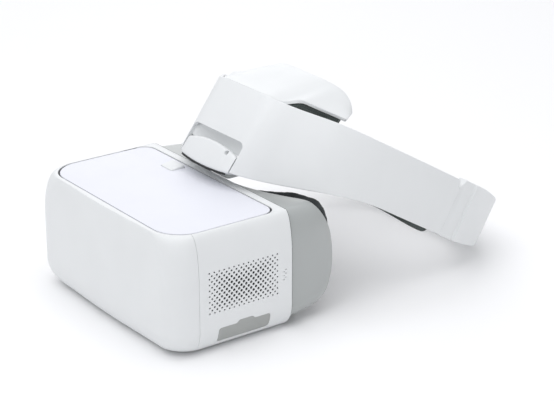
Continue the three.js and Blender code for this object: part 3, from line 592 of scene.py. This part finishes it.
def grille_shade_sheet():
    """A fine dark sheet just behind the perforation: painted shade that makes the holes read dark."""
    p = PERFORATION
    ys, zs = np.linspace(p["y0"] - 1, p["y1"] + 1, 32), np.linspace(p["z0"] - 1, p["z1"] + 1, 22)
    grid = np.array([[(casing_x(y, z) - 2.1, y, z) for y in ys] for z in zs])
    # painted shade: the dark sheet behind the holes stands in for the shade inside the casing
    return attach(sheet("grille_shade_sheet", grid, 0.4, CASING_CENTRE, bevel=0), "display_unit", "inner_black")


def right_cover():
    piece = side_skin("side_cover_right_body", -1)
    carve(piece, prism(rounded(-30.3, 19.7, 36.3, 72.3, 6), 0, -110, -WIDTH / 2 + 1.2),
          prism(circle(42, 16, 4.2), 0, -110, -60))
    return place(piece, "side_cover_right")


def touch_panel():
    """A thin pad let into the right side, with a shallow dish that a fingertip finds."""
    ys, zs = np.linspace(-30, 36, 56), np.linspace(20, 72, 46)
    grid = []
    for z in zs:
        dish = [0.35 * smoothstep(min(y + 30, 36 - y, z - 20, 72 - z), 2.5, 7.5) for y in ys]
        grid.append([(-casing_x(y, z) + 0.02 + d, y, z) for y, d in zip(ys, dish)])
    piece = sheet("touch_panel_body", np.array(grid), 0.8, CASING_CENTRE, bevel=0)
    carve(piece, prism(rounded(-29.9, 20.1, 35.9, 71.9, 5.7), 0, -110, -80), operation="INTERSECT")
    return place(piece, "touch_panel")


def port_cover():
    """Flap over the sockets, with a hump along its top edge and a raised border."""
    p = PORTS
    ys = np.linspace(p["y0"] - 1, p["y1"] + 1, 60)
    zs = np.linspace(p["z0"] - 1, p["z1"] + p["rise"] + 1, 26)
    grid = []
    for z in zs:
        border = [min(y - p["y0"], p["y1"] - y, z - p["z0"], p["z1"] - z) for y in ys]
        dish = 0.22 * smoothstep(border, 0.9, 1.8)
        grid.append([(casing_x(y, z) - 0.02 - d, y, z) for y, d in zip(ys, dish)])
    piece = sheet("port_cover_body", np.array(grid), 1.5, CASING_CENTRE, bevel=0)
    carve(piece, prism(port_outline(0), 0, 70, 110), operation="INTERSECT")
    return place(piece, "port_cover")


def bottom_cover():
    planes = [((0, SEAM_Y + SEAM_GAP / 2, 0), (0, -1, 0)), ((0, 0, 20), (0, 0, 1))]
    planes += [((side * (BASE_SEAM_X - SEAM_GAP / 2), 0, 0), (side, 0, 0)) for side in (-1, 1)]
    piece = sheet("bottom_cover_body", CASING, WALL, CASING_CENTRE, planes)
    carve(piece, prism(circle(0, 32, 11.5, 48), 2, -5, 6),
          *[prism(rounded(-68.3, y - 3.8, -55.7, y + 3.8, 1.2), 2, -5, 6) for y in (-16, 2)],
          *[prism(circle(x, y, 2.4), 2, -5, 6) for x in (-74, 74) for y in (-30, 40)])
    return place(piece, "bottom_cover")


def panel_outline(grow):
    x, front, rear = TOP_PANEL["x"] - 0.1 + grow, TOP_PANEL["front"] - 0.3 - grow, TOP_PANEL["rear"] + grow
    return rounded(-x, front, x, rear, [TOP_PANEL["radius"]] * 2 + [TOP_PANEL["rear_radius"]] * 2, 20)


def top_cover():
    slab = prism(panel_outline(-TOP_GAP), 2, HEIGHT - TOP_PANEL["thickness"], HEIGHT)
    slab.name = "top_cover_body"
    bevelled(slab, 0.45, 3)
    r = RELEASE
    carve(slab, prism(rounded(r["x0"] - 0.3, r["y0"] - 0.3, r["x1"] + 0.3, r["y1"] + 0.3, 2), 2, 80, 100))
    return place(slab, "top_cover")


def rear_rim():
    """The casing's top behind the panel."""
    x = TOP_PANEL["x"] + 0.1
    rim = prism(rounded(-x, 20, x, REAR_Y, [0.1, 0.1, 1.5, 1.5]), 2, HEIGHT - WALL, HEIGHT)
    carve(rim, prism(panel_outline(0), 2, 80, 100))
    return attach(bevelled(rim, 0.4), "display_unit", "shell_white")


def release_button():
    """A small soft-edged push button let into the panel."""
    r = RELEASE
    bump = prism(rounded(r["x0"], r["y0"], r["x1"], r["y1"], 2), 2, 89.5, HEIGHT + 2.2)
    bump.name = "release_button_body"
    slope = prism([(r["y0"] - 3, HEIGHT + 0.2), (r["y0"] - 3, 110), (r["y1"] + 3, 110),
                   (r["y1"] - 2, HEIGHT + 2.3)], 0, -60, 0)
    carve(bump, slope)
    return place(bevelled(bump, 0.9, 4, 30), "release_button")

# ---------------------------------------------------------------- face shroud and cushion


def shroud_ring(y, inset=0.0):
    """The shroud's closed outline at depths y, one per corner of the outline, starting under the nose."""
    t = (np.asarray(y, float) - REAR_Y) / SHROUD["depth"]
    x = lerp(SHROUD["x0"], SHROUD["x1"], t * t) - inset
    low = lerp(SHROUD["low0"], SHROUD["low1"], t) + inset
    high = lerp(SHROUD["high0"], SHROUD["high1"], t) - inset
    r, rx, rz = 15 - inset / 2, 14, 26
    turn = np.linspace(0, 1, 13)[:-1]
    flat, tall = np.linspace(0, 1, 41)[:-1], np.linspace(0, 1, 21)[:-1]
    half = []  # share pairs: where each corner of the left half lies
    half += [("base", v) for v in flat] + [("heel", v) for v in turn] + [("side", v) for v in tall]
    half += [("brow", v) for v in turn] + [("roof", v) for v in flat]
    points = np.zeros((2 * len(half), 2))
    for i, (stretch, v) in enumerate(half):
        for sign, k in ((1, i), (-1, len(points) - i)):
            if k == len(points):
                continue
            X, L, H = x[k], low[k], high[k]
            a = v * math.pi / 2
            px, pz = {
                "base": (v * (X - r), L),
                "heel": (X - r + r * math.sin(a), L + r - r * math.cos(a)),
                "side": (X, lerp(L + r, H - rz, v)),
                "brow": (X - rx + rx * math.cos(a), H - rz + rz * math.sin(a)),
                "roof": ((X - rx) * (1 - v), H),
            }[stretch]
            points[k] = sign * px, pz
    top = len(half)
    points[top] = 0, high[top]
    return points


SHROUD_COUNT = 2 * (40 + 12 + 20 + 12 + 40)


def cushion_end():
    """How far back the foam rim reaches round the shroud's outline."""
    y = np.full(SHROUD_COUNT, 85.0)
    for _ in range(12):
        x, z = shroud_ring(y).T
        e = SHROUD_REAR
        up = np.clip((z - e["z"]) / e["rz"], -0.999, 0.999)
        side = e["y"] + e["ry"] * np.sqrt(1 - up ** 2)
        face = FACE_CURVE["y"] - np.sqrt(np.maximum(FACE_CURVE["radius"] ** 2 - x ** 2, 1))
        soft = 2.5
        end = -soft * np.log(np.exp(-(side - 80) / soft) + np.exp(-(face - 80) / soft)) + 80
        under = (z < 40) * (1 - smoothstep(np.abs(x), NOSE["half"] - 3, NOSE["half"] + 5))
        y = lerp(end, np.minimum(end, NOSE["y"]), under)
    return y


def shroud_end():
    """The shroud's own edge, set in front of the foam's, most of all along the brow."""
    end = cushion_end()
    z = shroud_ring(end)[:, 1]
    return np.maximum(end - lerp(2.2, CUSHION["setback"], smoothstep(z, 40, 84)), SHROUD["start"] + 1.5)


def face_shroud():
    end = shroud_end()
    rows = []
    for share in np.concatenate([np.linspace(0, 0.94, 18), [0.975, 1]]):
        y = lerp(SHROUD["start"], end, share)
        rows.append(upright(shroud_ring(y), y))
    grid = np.array(rows)
    grid = np.concatenate([grid, grid[:, :1]], axis=1)
    piece = sheet("face_shroud_body", grid, SHROUD["wall"], (0, 75, 47), bevel=0.7)
    return place(piece, "face_shroud")


def seam_shade_strips():
    """Dark strips in the seams round the top panel and between the casing and the shroud: painted shade
    standing in for the shadow in these gaps.
    """
    # painted shade: a dark strip in the gap round the top panel
    section = ((93.4, -2), (93.4, 0.9), (94.1, 0.9), (94.1, -2))
    rings = [level(panel_outline(grow), z) for z, grow in section]
    attach(hoop("panel_seam_shade", rings), "display_unit", "inner_black")
    half = np.array([(x, z) for x, _, z in CASING[:, 0] if x > 2])
    loop = np.concatenate([half, half[::-1] * (-1, 1)])
    middle = np.array([0, HEIGHT / 2])
    # painted shade: a dark strip in the gap between the casing and the shroud
    section = ((50.05, 0.994), (50.7, 0.994), (50.7, 0.96), (50.05, 0.96))
    rings = [upright((loop - middle) * size + middle, y) for y, size in section]
    attach(hoop("rear_seam_shade", rings), "display_unit", "inner_black")


def shroud_flange():
    """The inner lip that screws to the casing, just inside the shroud's front edge."""
    section = ((50.6, 2.6), (52.6, 2.6), (52.6, 10.5), (50.6, 10.5))
    rings = [upright(shroud_ring(np.full(SHROUD_COUNT, y), inset), y) for y, inset in section]
    return attach(bevelled(hoop("shroud_flange", rings), 0.3), "display_unit", "shroud_grey")


def face_cushion():
    """Foam rim that follows the shroud's rear edge and parts for the nose."""
    end = cushion_end()
    ring, deeper = shroud_ring(end, CUSHION["inset"]), shroud_ring(end, CUSHION["inset"] + 1)
    inward = deeper - ring
    inward /= np.maximum(np.linalg.norm(inward, axis=1), 1e-6)[:, None]
    brow = smoothstep(ring[:, 1], 46, 84) * smoothstep(np.abs(ring[:, 0]), 30, 62)
    ring = ring - inward * (CUSHION["lift"] * brow)[:, None]
    centres = np.column_stack([ring[:, 0], end - CUSHION["depth"] + 2.5 * brow, ring[:, 1]])
    keep = [i for i in range(SHROUD_COUNT) if not (abs(ring[i, 0]) < NOSE["half"] + 5 and ring[i, 1] < 40)]
    length = np.concatenate([[0], np.cumsum(np.linalg.norm(np.diff(centres[keep], axis=0), axis=1))])
    rings = []
    angles = np.linspace(0, 2 * math.pi, 25)[:-1]
    for at, i in zip(length, keep):
        reach = min(at, length[-1] - at)
        taper = math.sqrt(1 - (1 - min(1, (reach + 0.15) / 9)) ** 2)
        before, after = centres[i - 1], centres[(i + 1) % SHROUD_COUNT]
        along = (after - before) / np.linalg.norm(after - before)
        inner = np.array([inward[i, 0], 0, inward[i, 1]])
        outer = np.cross(along, inner)
        outer *= math.copysign(1, outer[1])
        loop = []
        for a in angles:
            c, s = math.cos(a), math.sin(a)
            w = CUSHION["width"] * taper * math.copysign(abs(c) ** 0.72, c)
            d = CUSHION["depth"] * taper * math.copysign(abs(s) ** 0.72, s)
            loop.append(centres[i] + inner * w + outer * d)
        rings.append(loop)
    return tube("face_cushion_foam", np.array(rings))

# ---------------------------------------------------------------- headband


def band_table(count=6000):
    """Points and directions round the band's closed outline, with the distance to each."""
    half = [np.array(p, float) for p in BAND_OUTLINE]
    knots = half + [p * (-1, 1) for p in reversed(half[1:-1])]
    total = len(knots)
    points = []
    for t in np.linspace(0, total, count + 1)[:-1]:
        at, w = int(t), t - int(t)
        p0, p1, p2, p3 = (knots[(at + k) % total] for k in (-1, 0, 1, 2))
        d0, d1, d2 = (math.sqrt(np.linalg.norm(b - a)) for a, b in ((p0, p1), (p1, p2), (p2, p3)))
        m1 = ((p1 - p0) / d0 - (p2 - p0) / (d0 + d1) + (p2 - p1) / d1) * d1
        m2 = ((p2 - p1) / d1 - (p3 - p1) / (d1 + d2) + (p3 - p2) / d2) * d1
        curve = p1 + m1 * w + (3 * (p2 - p1) - 2 * m1 - m2) * w ** 2
        points.append(curve + (2 * (p1 - p2) + m1 + m2) * w ** 3)
    points = np.array(points + points[:1])
    steps = np.linalg.norm(np.diff(points, axis=0), axis=1)
    distance = np.concatenate([[0], np.cumsum(steps)])
    tangents = np.roll(points[:-1], -1, axis=0) - np.roll(points[:-1], 1, axis=0)
    tangents = np.concatenate([tangents, tangents[:1]])
    return points, tangents / np.linalg.norm(tangents, axis=1)[:, None], distance


BAND_POINTS, BAND_TANGENTS, BAND_DISTANCE = band_table()
AROUND = BAND_DISTANCE[-1]


def band_point(distance, inset):
    """(x, s) of a point at a distance round the band from the forehead, inset from its outer face."""
    at = distance % AROUND
    x, s, tx, ts = (np.interp(at, BAND_DISTANCE, column) for column in (*BAND_POINTS.T, *BAND_TANGENTS.T))
    return x - ts * inset, s + tx * inset


def leaning(d, n):
    """The forehead end leans back as it rises."""
    return LEAN * n * (1 - smoothstep(abs(d), 15, 110))


def lower_edge(d):
    return lerp(-9, 15, smoothstep(abs(d), 15, 155))


def upper_edge(d):
    """The band's top edge, nicked where it meets the rear housing."""
    nick = 8 * smoothstep(abs(d), BAND_END - 4.5, BAND_END)
    return lerp(57.3, 61.2, smoothstep(abs(d), 40, 110)) - nick


def fold(d):
    return min(abs(d), AROUND - abs(d))


def rear_lower(d):
    return lerp(14.6, 20, smoothstep(fold(d), 240, 330))


def rear_upper(d):
    nick = 7 * (1 - smoothstep(fold(d), REAR_START, REAR_START + 5))
    return lerp(63, 56.5, smoothstep(fold(d), 250, 340)) - nick


def battery_bulge(d):
    return LINER["battery"] * (1 - smoothstep(abs(d), 52, 88))


def sweep(name, profile, start, end, pitch=2.5):
    """A profile of (inset, height) corners drawn round the band."""
    stations = np.linspace(start, end, max(2, round(abs(end - start) / pitch)) + 1)
    rings = []
    for d in stations:
        corners = [(*band_point(d, inset), height) for inset, height in profile(d)]
        rings.append(to_row([(x, s + leaning(d, n), n) for x, s, n in corners]))
    return tube(name, rings)


def strip(inset0, inset1, low, high, radius):
    def profile(d):
        return fillet([(inset0, low(d)), (inset1, low(d)), (inset1, high(d)), (inset0, high(d))], radius)
    return profile


def band_shell():
    profile = strip(0, BAND_THICKNESS, lower_edge, upper_edge, 1.0)
    piece = sweep("band_shell_body", profile, -BAND_END, BAND_END, 2)
    button, outlet, lights = POWER_BUTTON, OUTLET, LIGHTS
    carve(piece, prism(rounded(-33, -40, 33, 17.2, 5), 1, -40, 60, to_row),
          prism(circle(button["s"], button["n"], button["radius"] + 0.4, 32), 0, -120, -90, to_row),
          prism(circle(outlet["s"], outlet["n"], outlet["radius"] + 0.4), 0, -120, -90, to_row),
          block(-120, -90, lights["s0"] - 0.3, lights["s1"] + 0.3, lights["n0"] - 0.3, lights["n1"] + 0.3,
                to_row))
    return place(piece, "band_shell")


def band_liner():
    outer, wall, depth, lip = LINER["outer"], LINER["wall"], LINER["depth"], LINER["lip"]

    def profile(d):
        back, high = depth + battery_bulge(d), upper_edge(d)
        low = lerp(19.6, lower_edge(d) + battery_bulge(d) / 3, smoothstep(abs(d), 36.5, 40))
        return fillet([(outer, low), (back, low), (back, high), (outer, high), (outer, high - lip),
                       (back - wall, high - lip), (back - wall, low + lip), (outer, low + lip)], 0.8, 2)
    return place(sweep("band_liner_body", profile, -BAND_END, BAND_END, 2), "band_liner")


def hinge_block():
    """The block that holds the pin: crowned along its top, with a dark strip under its front that is painted
    shade for the shadow beneath the block.
    """
    b = HINGE

    def profile(d):
        share = (d / 32) ** 2
        low, high = b["low"] - 2.3 * (1 - share), b["high"] + 3.2 - 4.4 * share
        front, rear = [(0.1, low), (8, low)], [(b["depth"], low + 7), (b["depth"], high - 4)]
        return fillet(front + rear + [(6, high), (0.6, high - 0.3)], 2, 5)
    piece = sweep("hinge_block_body", profile, -b["half"], b["half"], 2)
    slot = [(-7.6, -30), (30, -30), (30, 3), (0, 5), (-5.2, 3.5), (-7.6, -3)]
    carve(piece, prism(slot, 0, -10.1, 10.1, to_row), prism(circle(0, 0, b["pin"]), 0, -30.2, 30.2, to_row),
          prism(circle(21, b["high"] - 1.2, 2.0), 1, -20, 0, to_row))
    place(bevelled(piece, 0.5), "hinge_block")

    # painted shade: a dark strip along the block's lower front edge stands in for the shadow under it
    def underside_shade(d):
        low = b["low"] - 2.3 * (1 - (d / 32) ** 2)
        return [(1.4, low - 1.5), (3.2, low - 1.5), (3.2, low + 1), (1.4, low + 1)]
    attach(sweep("hinge_underside_shade", underside_shade, -b["half"] + 3, b["half"] - 3, 2), "headband", "inner_black")


def hinge_scoop():
    """The hollow in the band above the hinge block."""
    grid = []
    for t in np.linspace(0, 1, 18):
        row = []
        for d in np.linspace(-35, 35, 60):
            ends = max(0, 1 - (d / 34) ** 6) ** 0.5
            inset = 2.65 + 7.5 * ends * math.sin(t * math.pi / 2) ** 0.8
            (x, s), n = band_point(d, inset), lerp(18.6, 6.5, t ** 1.3)
            row.append((x, s + leaning(d, n), n))
        grid.append(row)
    return attach(sheet("hinge_scoop", to_row(np.array(grid)), 1, to_row([0, 60, 40]), bevel=0),
                  "headband", "shell_white")


def hinge_mount():
    """A low rounded foot on the shroud's roof, with the leg and boss that the pin runs through."""
    foot = prism(rounded(-12, 51.5, 12, 65, 4), 2, 93.9, 96.4)
    foot.name = "hinge_mount_body"
    bevelled(foot, 1.6, 4)
    leg = prism(fillet([(46.4, 110), (53.8, 112), (60, 95), (51, 95)], 1, 2), 0, -9.7, 9.7)
    bevelled(leg, 0.7)
    boss = prism(circle(PIN_Y, PIN_Z, 4.6, 40), 0, -9.7, 9.7)
    bevelled(boss, 0.6)
    carve(foot, leg, boss, operation="UNION")
    carve(foot, prism(circle(PIN_Y, PIN_Z, HINGE["pin"]), 0, -20, 20))
    return place(foot, "hinge_mount")


def crown_point(u, v):
    """A point on the fin over the forehead; v below 0 carries on straight down behind the band."""
    c, side = CROWN, 2 * u - 1
    reach, up = min(abs(side), 1), max(v, 0)
    x, s = band_point(c["reach"] * side, 0)
    low = c["low"] + c["gap"] * (smoothstep(reach, c["split"], 0.64) + 0.1 * smoothstep(reach, 0.64, 1))
    lean, set_in = leaning(c["reach"] * side, low), c["set_in"] * smoothstep(reach, 0.1, 1)
    front = s + (lean ** 3 + set_in ** 3) ** (1 / 3)
    back = c["s"] + c["sweep"] * smoothstep(reach, 0.1, 1)
    high = c["high"] - c["drop"] * reach ** 5
    height = lerp(low, high, 1 - abs(1 - up) ** 1.24) + min(v, 0) * 30
    return x * (1 - c["lean"] * up), lerp(front, back, up ** 0.8), height


def crown_cover():
    grid = np.array([[crown_point(u, v) for u in np.linspace(0, 1, 90)] for v in np.linspace(0, 1, 26)])
    inside = to_row([0, 60, 40])
    piece = sheet("crown_cover_body", to_row(grid), CROWN["thickness"], inside, bevel=0.9)
    return place(piece, "crown_cover")


def crown_pad():
    """Ribbed pad under the fin that also closes the slots between the fin and the band."""
    step, top, heights = 1e-3, CROWN["thickness"] + 0.7, np.linspace(-0.22, 0.9, 64)
    loops = []
    for u in np.linspace(0.03, 0.97, 90):
        outer, inner = [], []
        for v in heights:
            at = max(v, 0.02)
            here = np.array(crown_point(u, at))
            across = np.array(crown_point(u + step, at)) - here
            upward = np.array(crown_point(u, at + step)) - here
            normal = np.cross(across, upward)
            normal *= math.copysign(1, normal @ (here - (0, 70, 50))) / np.linalg.norm(normal)
            ribs = 0.4 * math.sin(2 * math.pi * v * 12)
            outer.append(np.array(crown_point(u, v)) - normal * (top + ribs))
            inner.append(np.array(crown_point(u, v)) - normal * (top + 4.5))
        loops.append(to_row(np.array(outer + inner[::-1])))
    return tube("crown_pad_fabric", np.array(loops))


def soft_strip(name, back, thickness, low, high, start, end):
    """A crowned strip of padding on the inside of the band, rounded off at both ends."""
    def profile(d):
        reach = min(abs(d - start), abs(end - d))
        taper = math.sqrt(1 - (1 - min(1, (reach + 0.3) / 9)) ** 2)
        middle, half = (low(d) + high(d)) / 2, (high(d) - low(d)) / 2 * (0.72 + 0.28 * taper)
        loop = []
        for a in np.linspace(0, 2 * math.pi, 41)[:-1]:
            c, s = math.cos(a), math.sin(a)
            rise = max(0, c) ** 0.55 * thickness * taper
            loop.append((back(d) + rise, middle + half * math.copysign(abs(s) ** 0.6, s)))
        return loop
    return sweep(name, profile, start, end)


def plump(piece, voxel, cap):
    """Swells a pad with a short cloth simulation, in which no point moves further than cap."""
    modify(piece, "REMESH", mode="VOXEL", voxel_size=voxel * MM)
    before = np.array([v.co for v in piece.data.vertices])
    cloth = piece.modifiers.new("cloth", "CLOTH")
    cloth.settings.use_pressure = True
    cloth.settings.uniform_pressure_force = 4
    cloth.settings.effector_weights.gravity = 0
    cloth.point_cache.frame_end = 20
    for at in range(1, 21):
        bpy.context.scene.frame_set(at)
    settle(piece)
    bpy.context.scene.frame_set(1)
    moved = np.array([v.co for v in piece.data.vertices]) - before
    length = np.maximum(np.linalg.norm(moved, axis=1), 1e-9)
    moved *= (np.minimum(length, cap * MM) / length)[:, None]
    piece.data.vertices.foreach_set("co", (before + moved).astype(np.float32).ravel())
    piece.data.update()
    return modify(piece, "SMOOTH", factor=0.5, iterations=4)


def stitched(piece, depth_at):
    """Pulls the surface in along seams: depth_at(point in mm) is how far."""
    mesh = piece.data
    normals = np.array([v.normal for v in mesh.vertices])
    points = np.array([v.co for v in mesh.vertices])
    pull = np.array([depth_at(p / MM) for p in points]) * MM
    mesh.vertices.foreach_set("co", (points - normals * pull[:, None]).astype(np.float32).ravel())
    mesh.update()
    return modify(piece, "SUBSURF", levels=1, render_levels=1)


def groove(distance, width, depth):
    return depth * math.exp(-(distance / width) ** 2)


def channels(centres, width, heights, depth):
    """Seams across a pad at each x in centres, and along it at each height."""
    def depth_at(point):
        x, _, n = to_band(point)
        across = groove(min(abs(x - c) for c in centres), 1.3, width)
        return across + groove(abs(n - heights[0]), 0.9, depth) + groove(abs(n - heights[1]), 0.9, depth)
    return depth_at


def to_band(point):
    """Row frame to headband frame, mm."""
    y, z = point[1] - PIN_Y, point[2] - PIN_Z
    c, s = math.cos(TILT), math.sin(TILT)
    return point[0], y * c - z * s, y * s + z * c


def forehead_pad():
    def back(d):
        return LINER["depth"] + 0.3 + battery_bulge(d)
    piece = soft_strip("forehead_pad_fabric", back, 11, lambda d: 17.5, lambda d: 53.5, -72, 72)
    plump(piece, 2.2, 1.2)
    stitched(piece, channels((-44, -22, 0, 22, 44), 1.3, (21.5, 49.5), 0.6))
    return place(piece, "forehead_pad")


def rear_pad():
    piece = soft_strip("rear_pad_fabric", lambda d: 10.3, 9, lambda d: rear_lower(d) + 3,
                       lambda d: rear_upper(d) - 3, 262, AROUND - 262)
    plump(piece, 2.2, 1.0)
    stitched(piece, channels((-20, 0, 20), 1.1, (23, 50), 0.5))
    return place(piece, "rear_pad")


def side_pad(side, node):
    """Thin padding along one side of the band; it shows as a dark strip under the band near its end."""
    def low(d):
        return lower_edge(d) - 0.6 - 3.2 * smoothstep(abs(d), 150, 205)

    def high(d):
        return upper_edge(d) - 4
    back = LINER["depth"] + 0.3
    piece = soft_strip(node + "_fabric", lambda d: back, 4.6, low, high, side * 100, side * 217)

    def seams(point):
        _, s, n = to_band(point)
        ribs = 0.22 * (0.5 + 0.5 * math.sin(2 * math.pi * n / 5.2))
        return ribs + groove(abs(s - 150), 1.2, 0.5)
    stitched(piece, seams)
    return place(piece, node)


def rear_housing():
    """Rear shell of the adjuster: a lower strip next to the band, then a ridge."""
    def step(d):
        return 1.6 * (1 - smoothstep(fold(d), 241, 242.4))

    def profile(d):
        low, high = rear_lower(d), rear_upper(d)
        return fillet([(step(d), low), (10, low), (10, high), (step(d), high)], 1.6, 4)
    for side in (-1, 1):
        seam = [(1.0, 16), (2.8, 16), (2.8, 50), (1.0, 50)]
        attach(sweep("rear_seam", lambda d: seam, side * (BAND_END + 0.1), side * (REAR_START - 0.1)),
               BODY["rear_housing"], "control_grey")
    piece = sweep("rear_housing_body", profile, REAR_START, AROUND - REAR_START, 1.5)

    def inner(d):
        low, high = rear_lower(d) + 2.2, rear_upper(d) - 2.2
        return [(3.1, low), (7.8, low), (7.8, high), (3.1, high)]
    hollow = sweep("tool", inner, REAR_START - 4, AROUND - REAR_START + 4)
    carve(piece, hollow, prism(circle(0, KNOB["n"], 3.5), 1, 238.5, 260, to_row))
    return place(piece, "rear_housing")


def adjust_knob():
    """Fluted dial with a dished face, on its shaft and pinion."""
    around = np.linspace(0, 2 * math.pi, 289)[:-1]
    flute = 0.55 * np.clip(np.cos(around * 36), -0.2, 1) + 0.1
    start = KNOB["s"]
    profile = [(-7, 5.8, 0), (-3, 5.8, 0), (-3, 3.2, 0), (0.4, 3.2, 0), (0.4, 14.8, 0), (0.8, 15.6, 0.7),
               (1.6, 16, 1), (2.6, 16, 1), (3.3, 15.7, 0.8), (3.8, 14.9, 0.2), (3.8, 13.6, 0), (3.4, 12.8, 0),
               (3.1, 10, 0), (3.05, 5, 0), (3.0, 1, 0)]
    rings = []
    for s, radius, fluted in profile:
        r = radius - flute * fluted
        height = KNOB["n"] + r * np.sin(around)
        rings.append(to_row(np.column_stack([r * np.cos(around), np.full(len(around), start + s), height])))
    return place(tube("adjust_knob_body", rings), "adjust_knob")


def lens(side, node):
    """Biconvex lens with a ground edge."""
    around = np.linspace(0, 2 * math.pi, 73)[:-1]
    rings = []
    for t in np.linspace(-1, 1, 25):
        r = LENS_RADIUS * math.sqrt(max(1 - abs(t) ** 3.2, 0.0004))
        y = LENS_Y + 3.3 * t
        rings.append([(side * HALF_IPD + r * math.cos(a), y, EYE_Z + r * math.sin(a)) for a in around])
    return place(tube(node + "_glass", rings), node)


# ---------------------------------------------------------------- the object

front_shell()
left_cover()
grille_shade_sheet()
right_cover()
touch_panel()
port_cover()
bottom_cover()
top_cover()
rear_rim()
release_button()
face_shroud()
shroud_flange()
seam_shade_strips()

cushion = face_cushion()
plump(cushion, 2.4, 1.0)
stitched(cushion, lambda p: 0.25 * math.sin(p[0] * 0.9) * math.sin(p[2] * 0.7) + 0.25)
place(cushion, "face_cushion")

band_shell()
band_liner()
hinge_block()
hinge_scoop()
hinge_mount()
crown_cover()
pad = crown_pad()
place(pad, "crown_pad")
forehead_pad()
side_pad(1, "side_pad_left")
side_pad(-1, "side_pad_right")
rear_housing()
rear_pad()
adjust_knob()
for side, node in ((1, "lens_left"), (-1, "lens_right")):
    lens(side, node)

EDGES = {"back_button": 0.4, "function_button": 0.4, "eye_plate": 0.7, "lens_barrel_left": 0.4,
         "lens_barrel_right": 0.4, "ipd_knob": 0.3, "power_inlet": 0.3, "power_outlet": 0.3,
         "power_button": 0.6,
         "indicator_window": 0.2, "adjuster_arm_left": 0.3, "adjuster_arm_right": 0.3, "fan_frame": 0.4,
         "fan_rotor": 0.15, "proximity_window": 0.4, "speaker_left": 0.6, "speaker_right": 0.6,
         "battery_left": 1.2, "battery_right": 1.2}
EDGE_DEFAULT = 0.12
LEANING = ("battery_left", "battery_right", "band_board")
for node in sorted(frame["nodes"]):
    if not frame["nodes"][node].hide_render:
        refined(node, EDGES.get(node, EDGE_DEFAULT))

# ---------------------------------------------------------------- stage


def add_camera():
    azimuth, elevation = math.radians(CAMERA["azimuth"]), math.radians(CAMERA["elevation"])
    right = Vector((math.cos(azimuth), math.sin(azimuth), 0))
    back = Vector((math.sin(azimuth) * math.cos(elevation), -math.cos(azimuth) * math.cos(elevation),
                   math.sin(elevation)))
    up = back.cross(right)
    data = bpy.data.cameras.new("camera")
    data.lens, data.sensor_width = CAMERA["lens"], CAMERA["sensor"]
    data.clip_start, data.clip_end = 0.05, 20
    camera = add_object("camera", data)
    where = (right * CAMERA["across"] + up * CAMERA["up"] + back * CAMERA["back"]) * MM
    camera.matrix_world = Matrix((right, up, back)).transposed().to_4x4()
    camera.location = where
    bpy.context.scene.camera = camera


def add_light(name, where, size, power, target=(0, 0.06, 0.08), colour=(1, 1, 1)):
    data = bpy.data.lights.new(name, "AREA")
    data.shape, data.size, data.energy, data.color = "DISK", size, power, colour
    light = add_object(name, data)
    light.location = where
    light.rotation_euler = (Vector(target) - Vector(where)).to_track_quat("-Z", "Y").to_euler()


def add_floor():
    half = 6000
    floor = make("floor", [(-half, -half, 0), (half, -half, 0), (half, half, 0), (-half, half, 0)],
                 [[0, 1, 2, 3]], closed=False)
    floor.location.z = -0.0002
    finish = Finish("floor_paper", (0.96, 0.96, 0.965), 0.9, Specular_IOR_Level=0.1)
    finish.tint(finish.span(finish.noise(3, 2), 0, 1), 0.004)
    floor.data.materials.append(finish.material)


def add_world():
    world = bpy.data.worlds.new("studio")
    world.use_nodes = True
    background = world.node_tree.nodes["Background"]
    background.inputs["Color"].default_value = (0.97, 0.98, 1.0, 1)
    background.inputs["Strength"].default_value = 0.62
    bpy.context.scene.world = world


add_camera()
add_floor()
add_world()
add_light("overhead", (0.1, -0.1, 1.6), 2.2, 15.5, colour=(0.98, 0.98, 1))
add_light("front", (0.4, -1.3, 1.8), 1.2, 4)
add_light("back", (-1.3, 0.95, 0.65), 1.3, 3)
bpy.context.scene.view_settings.view_transform = "Standard"
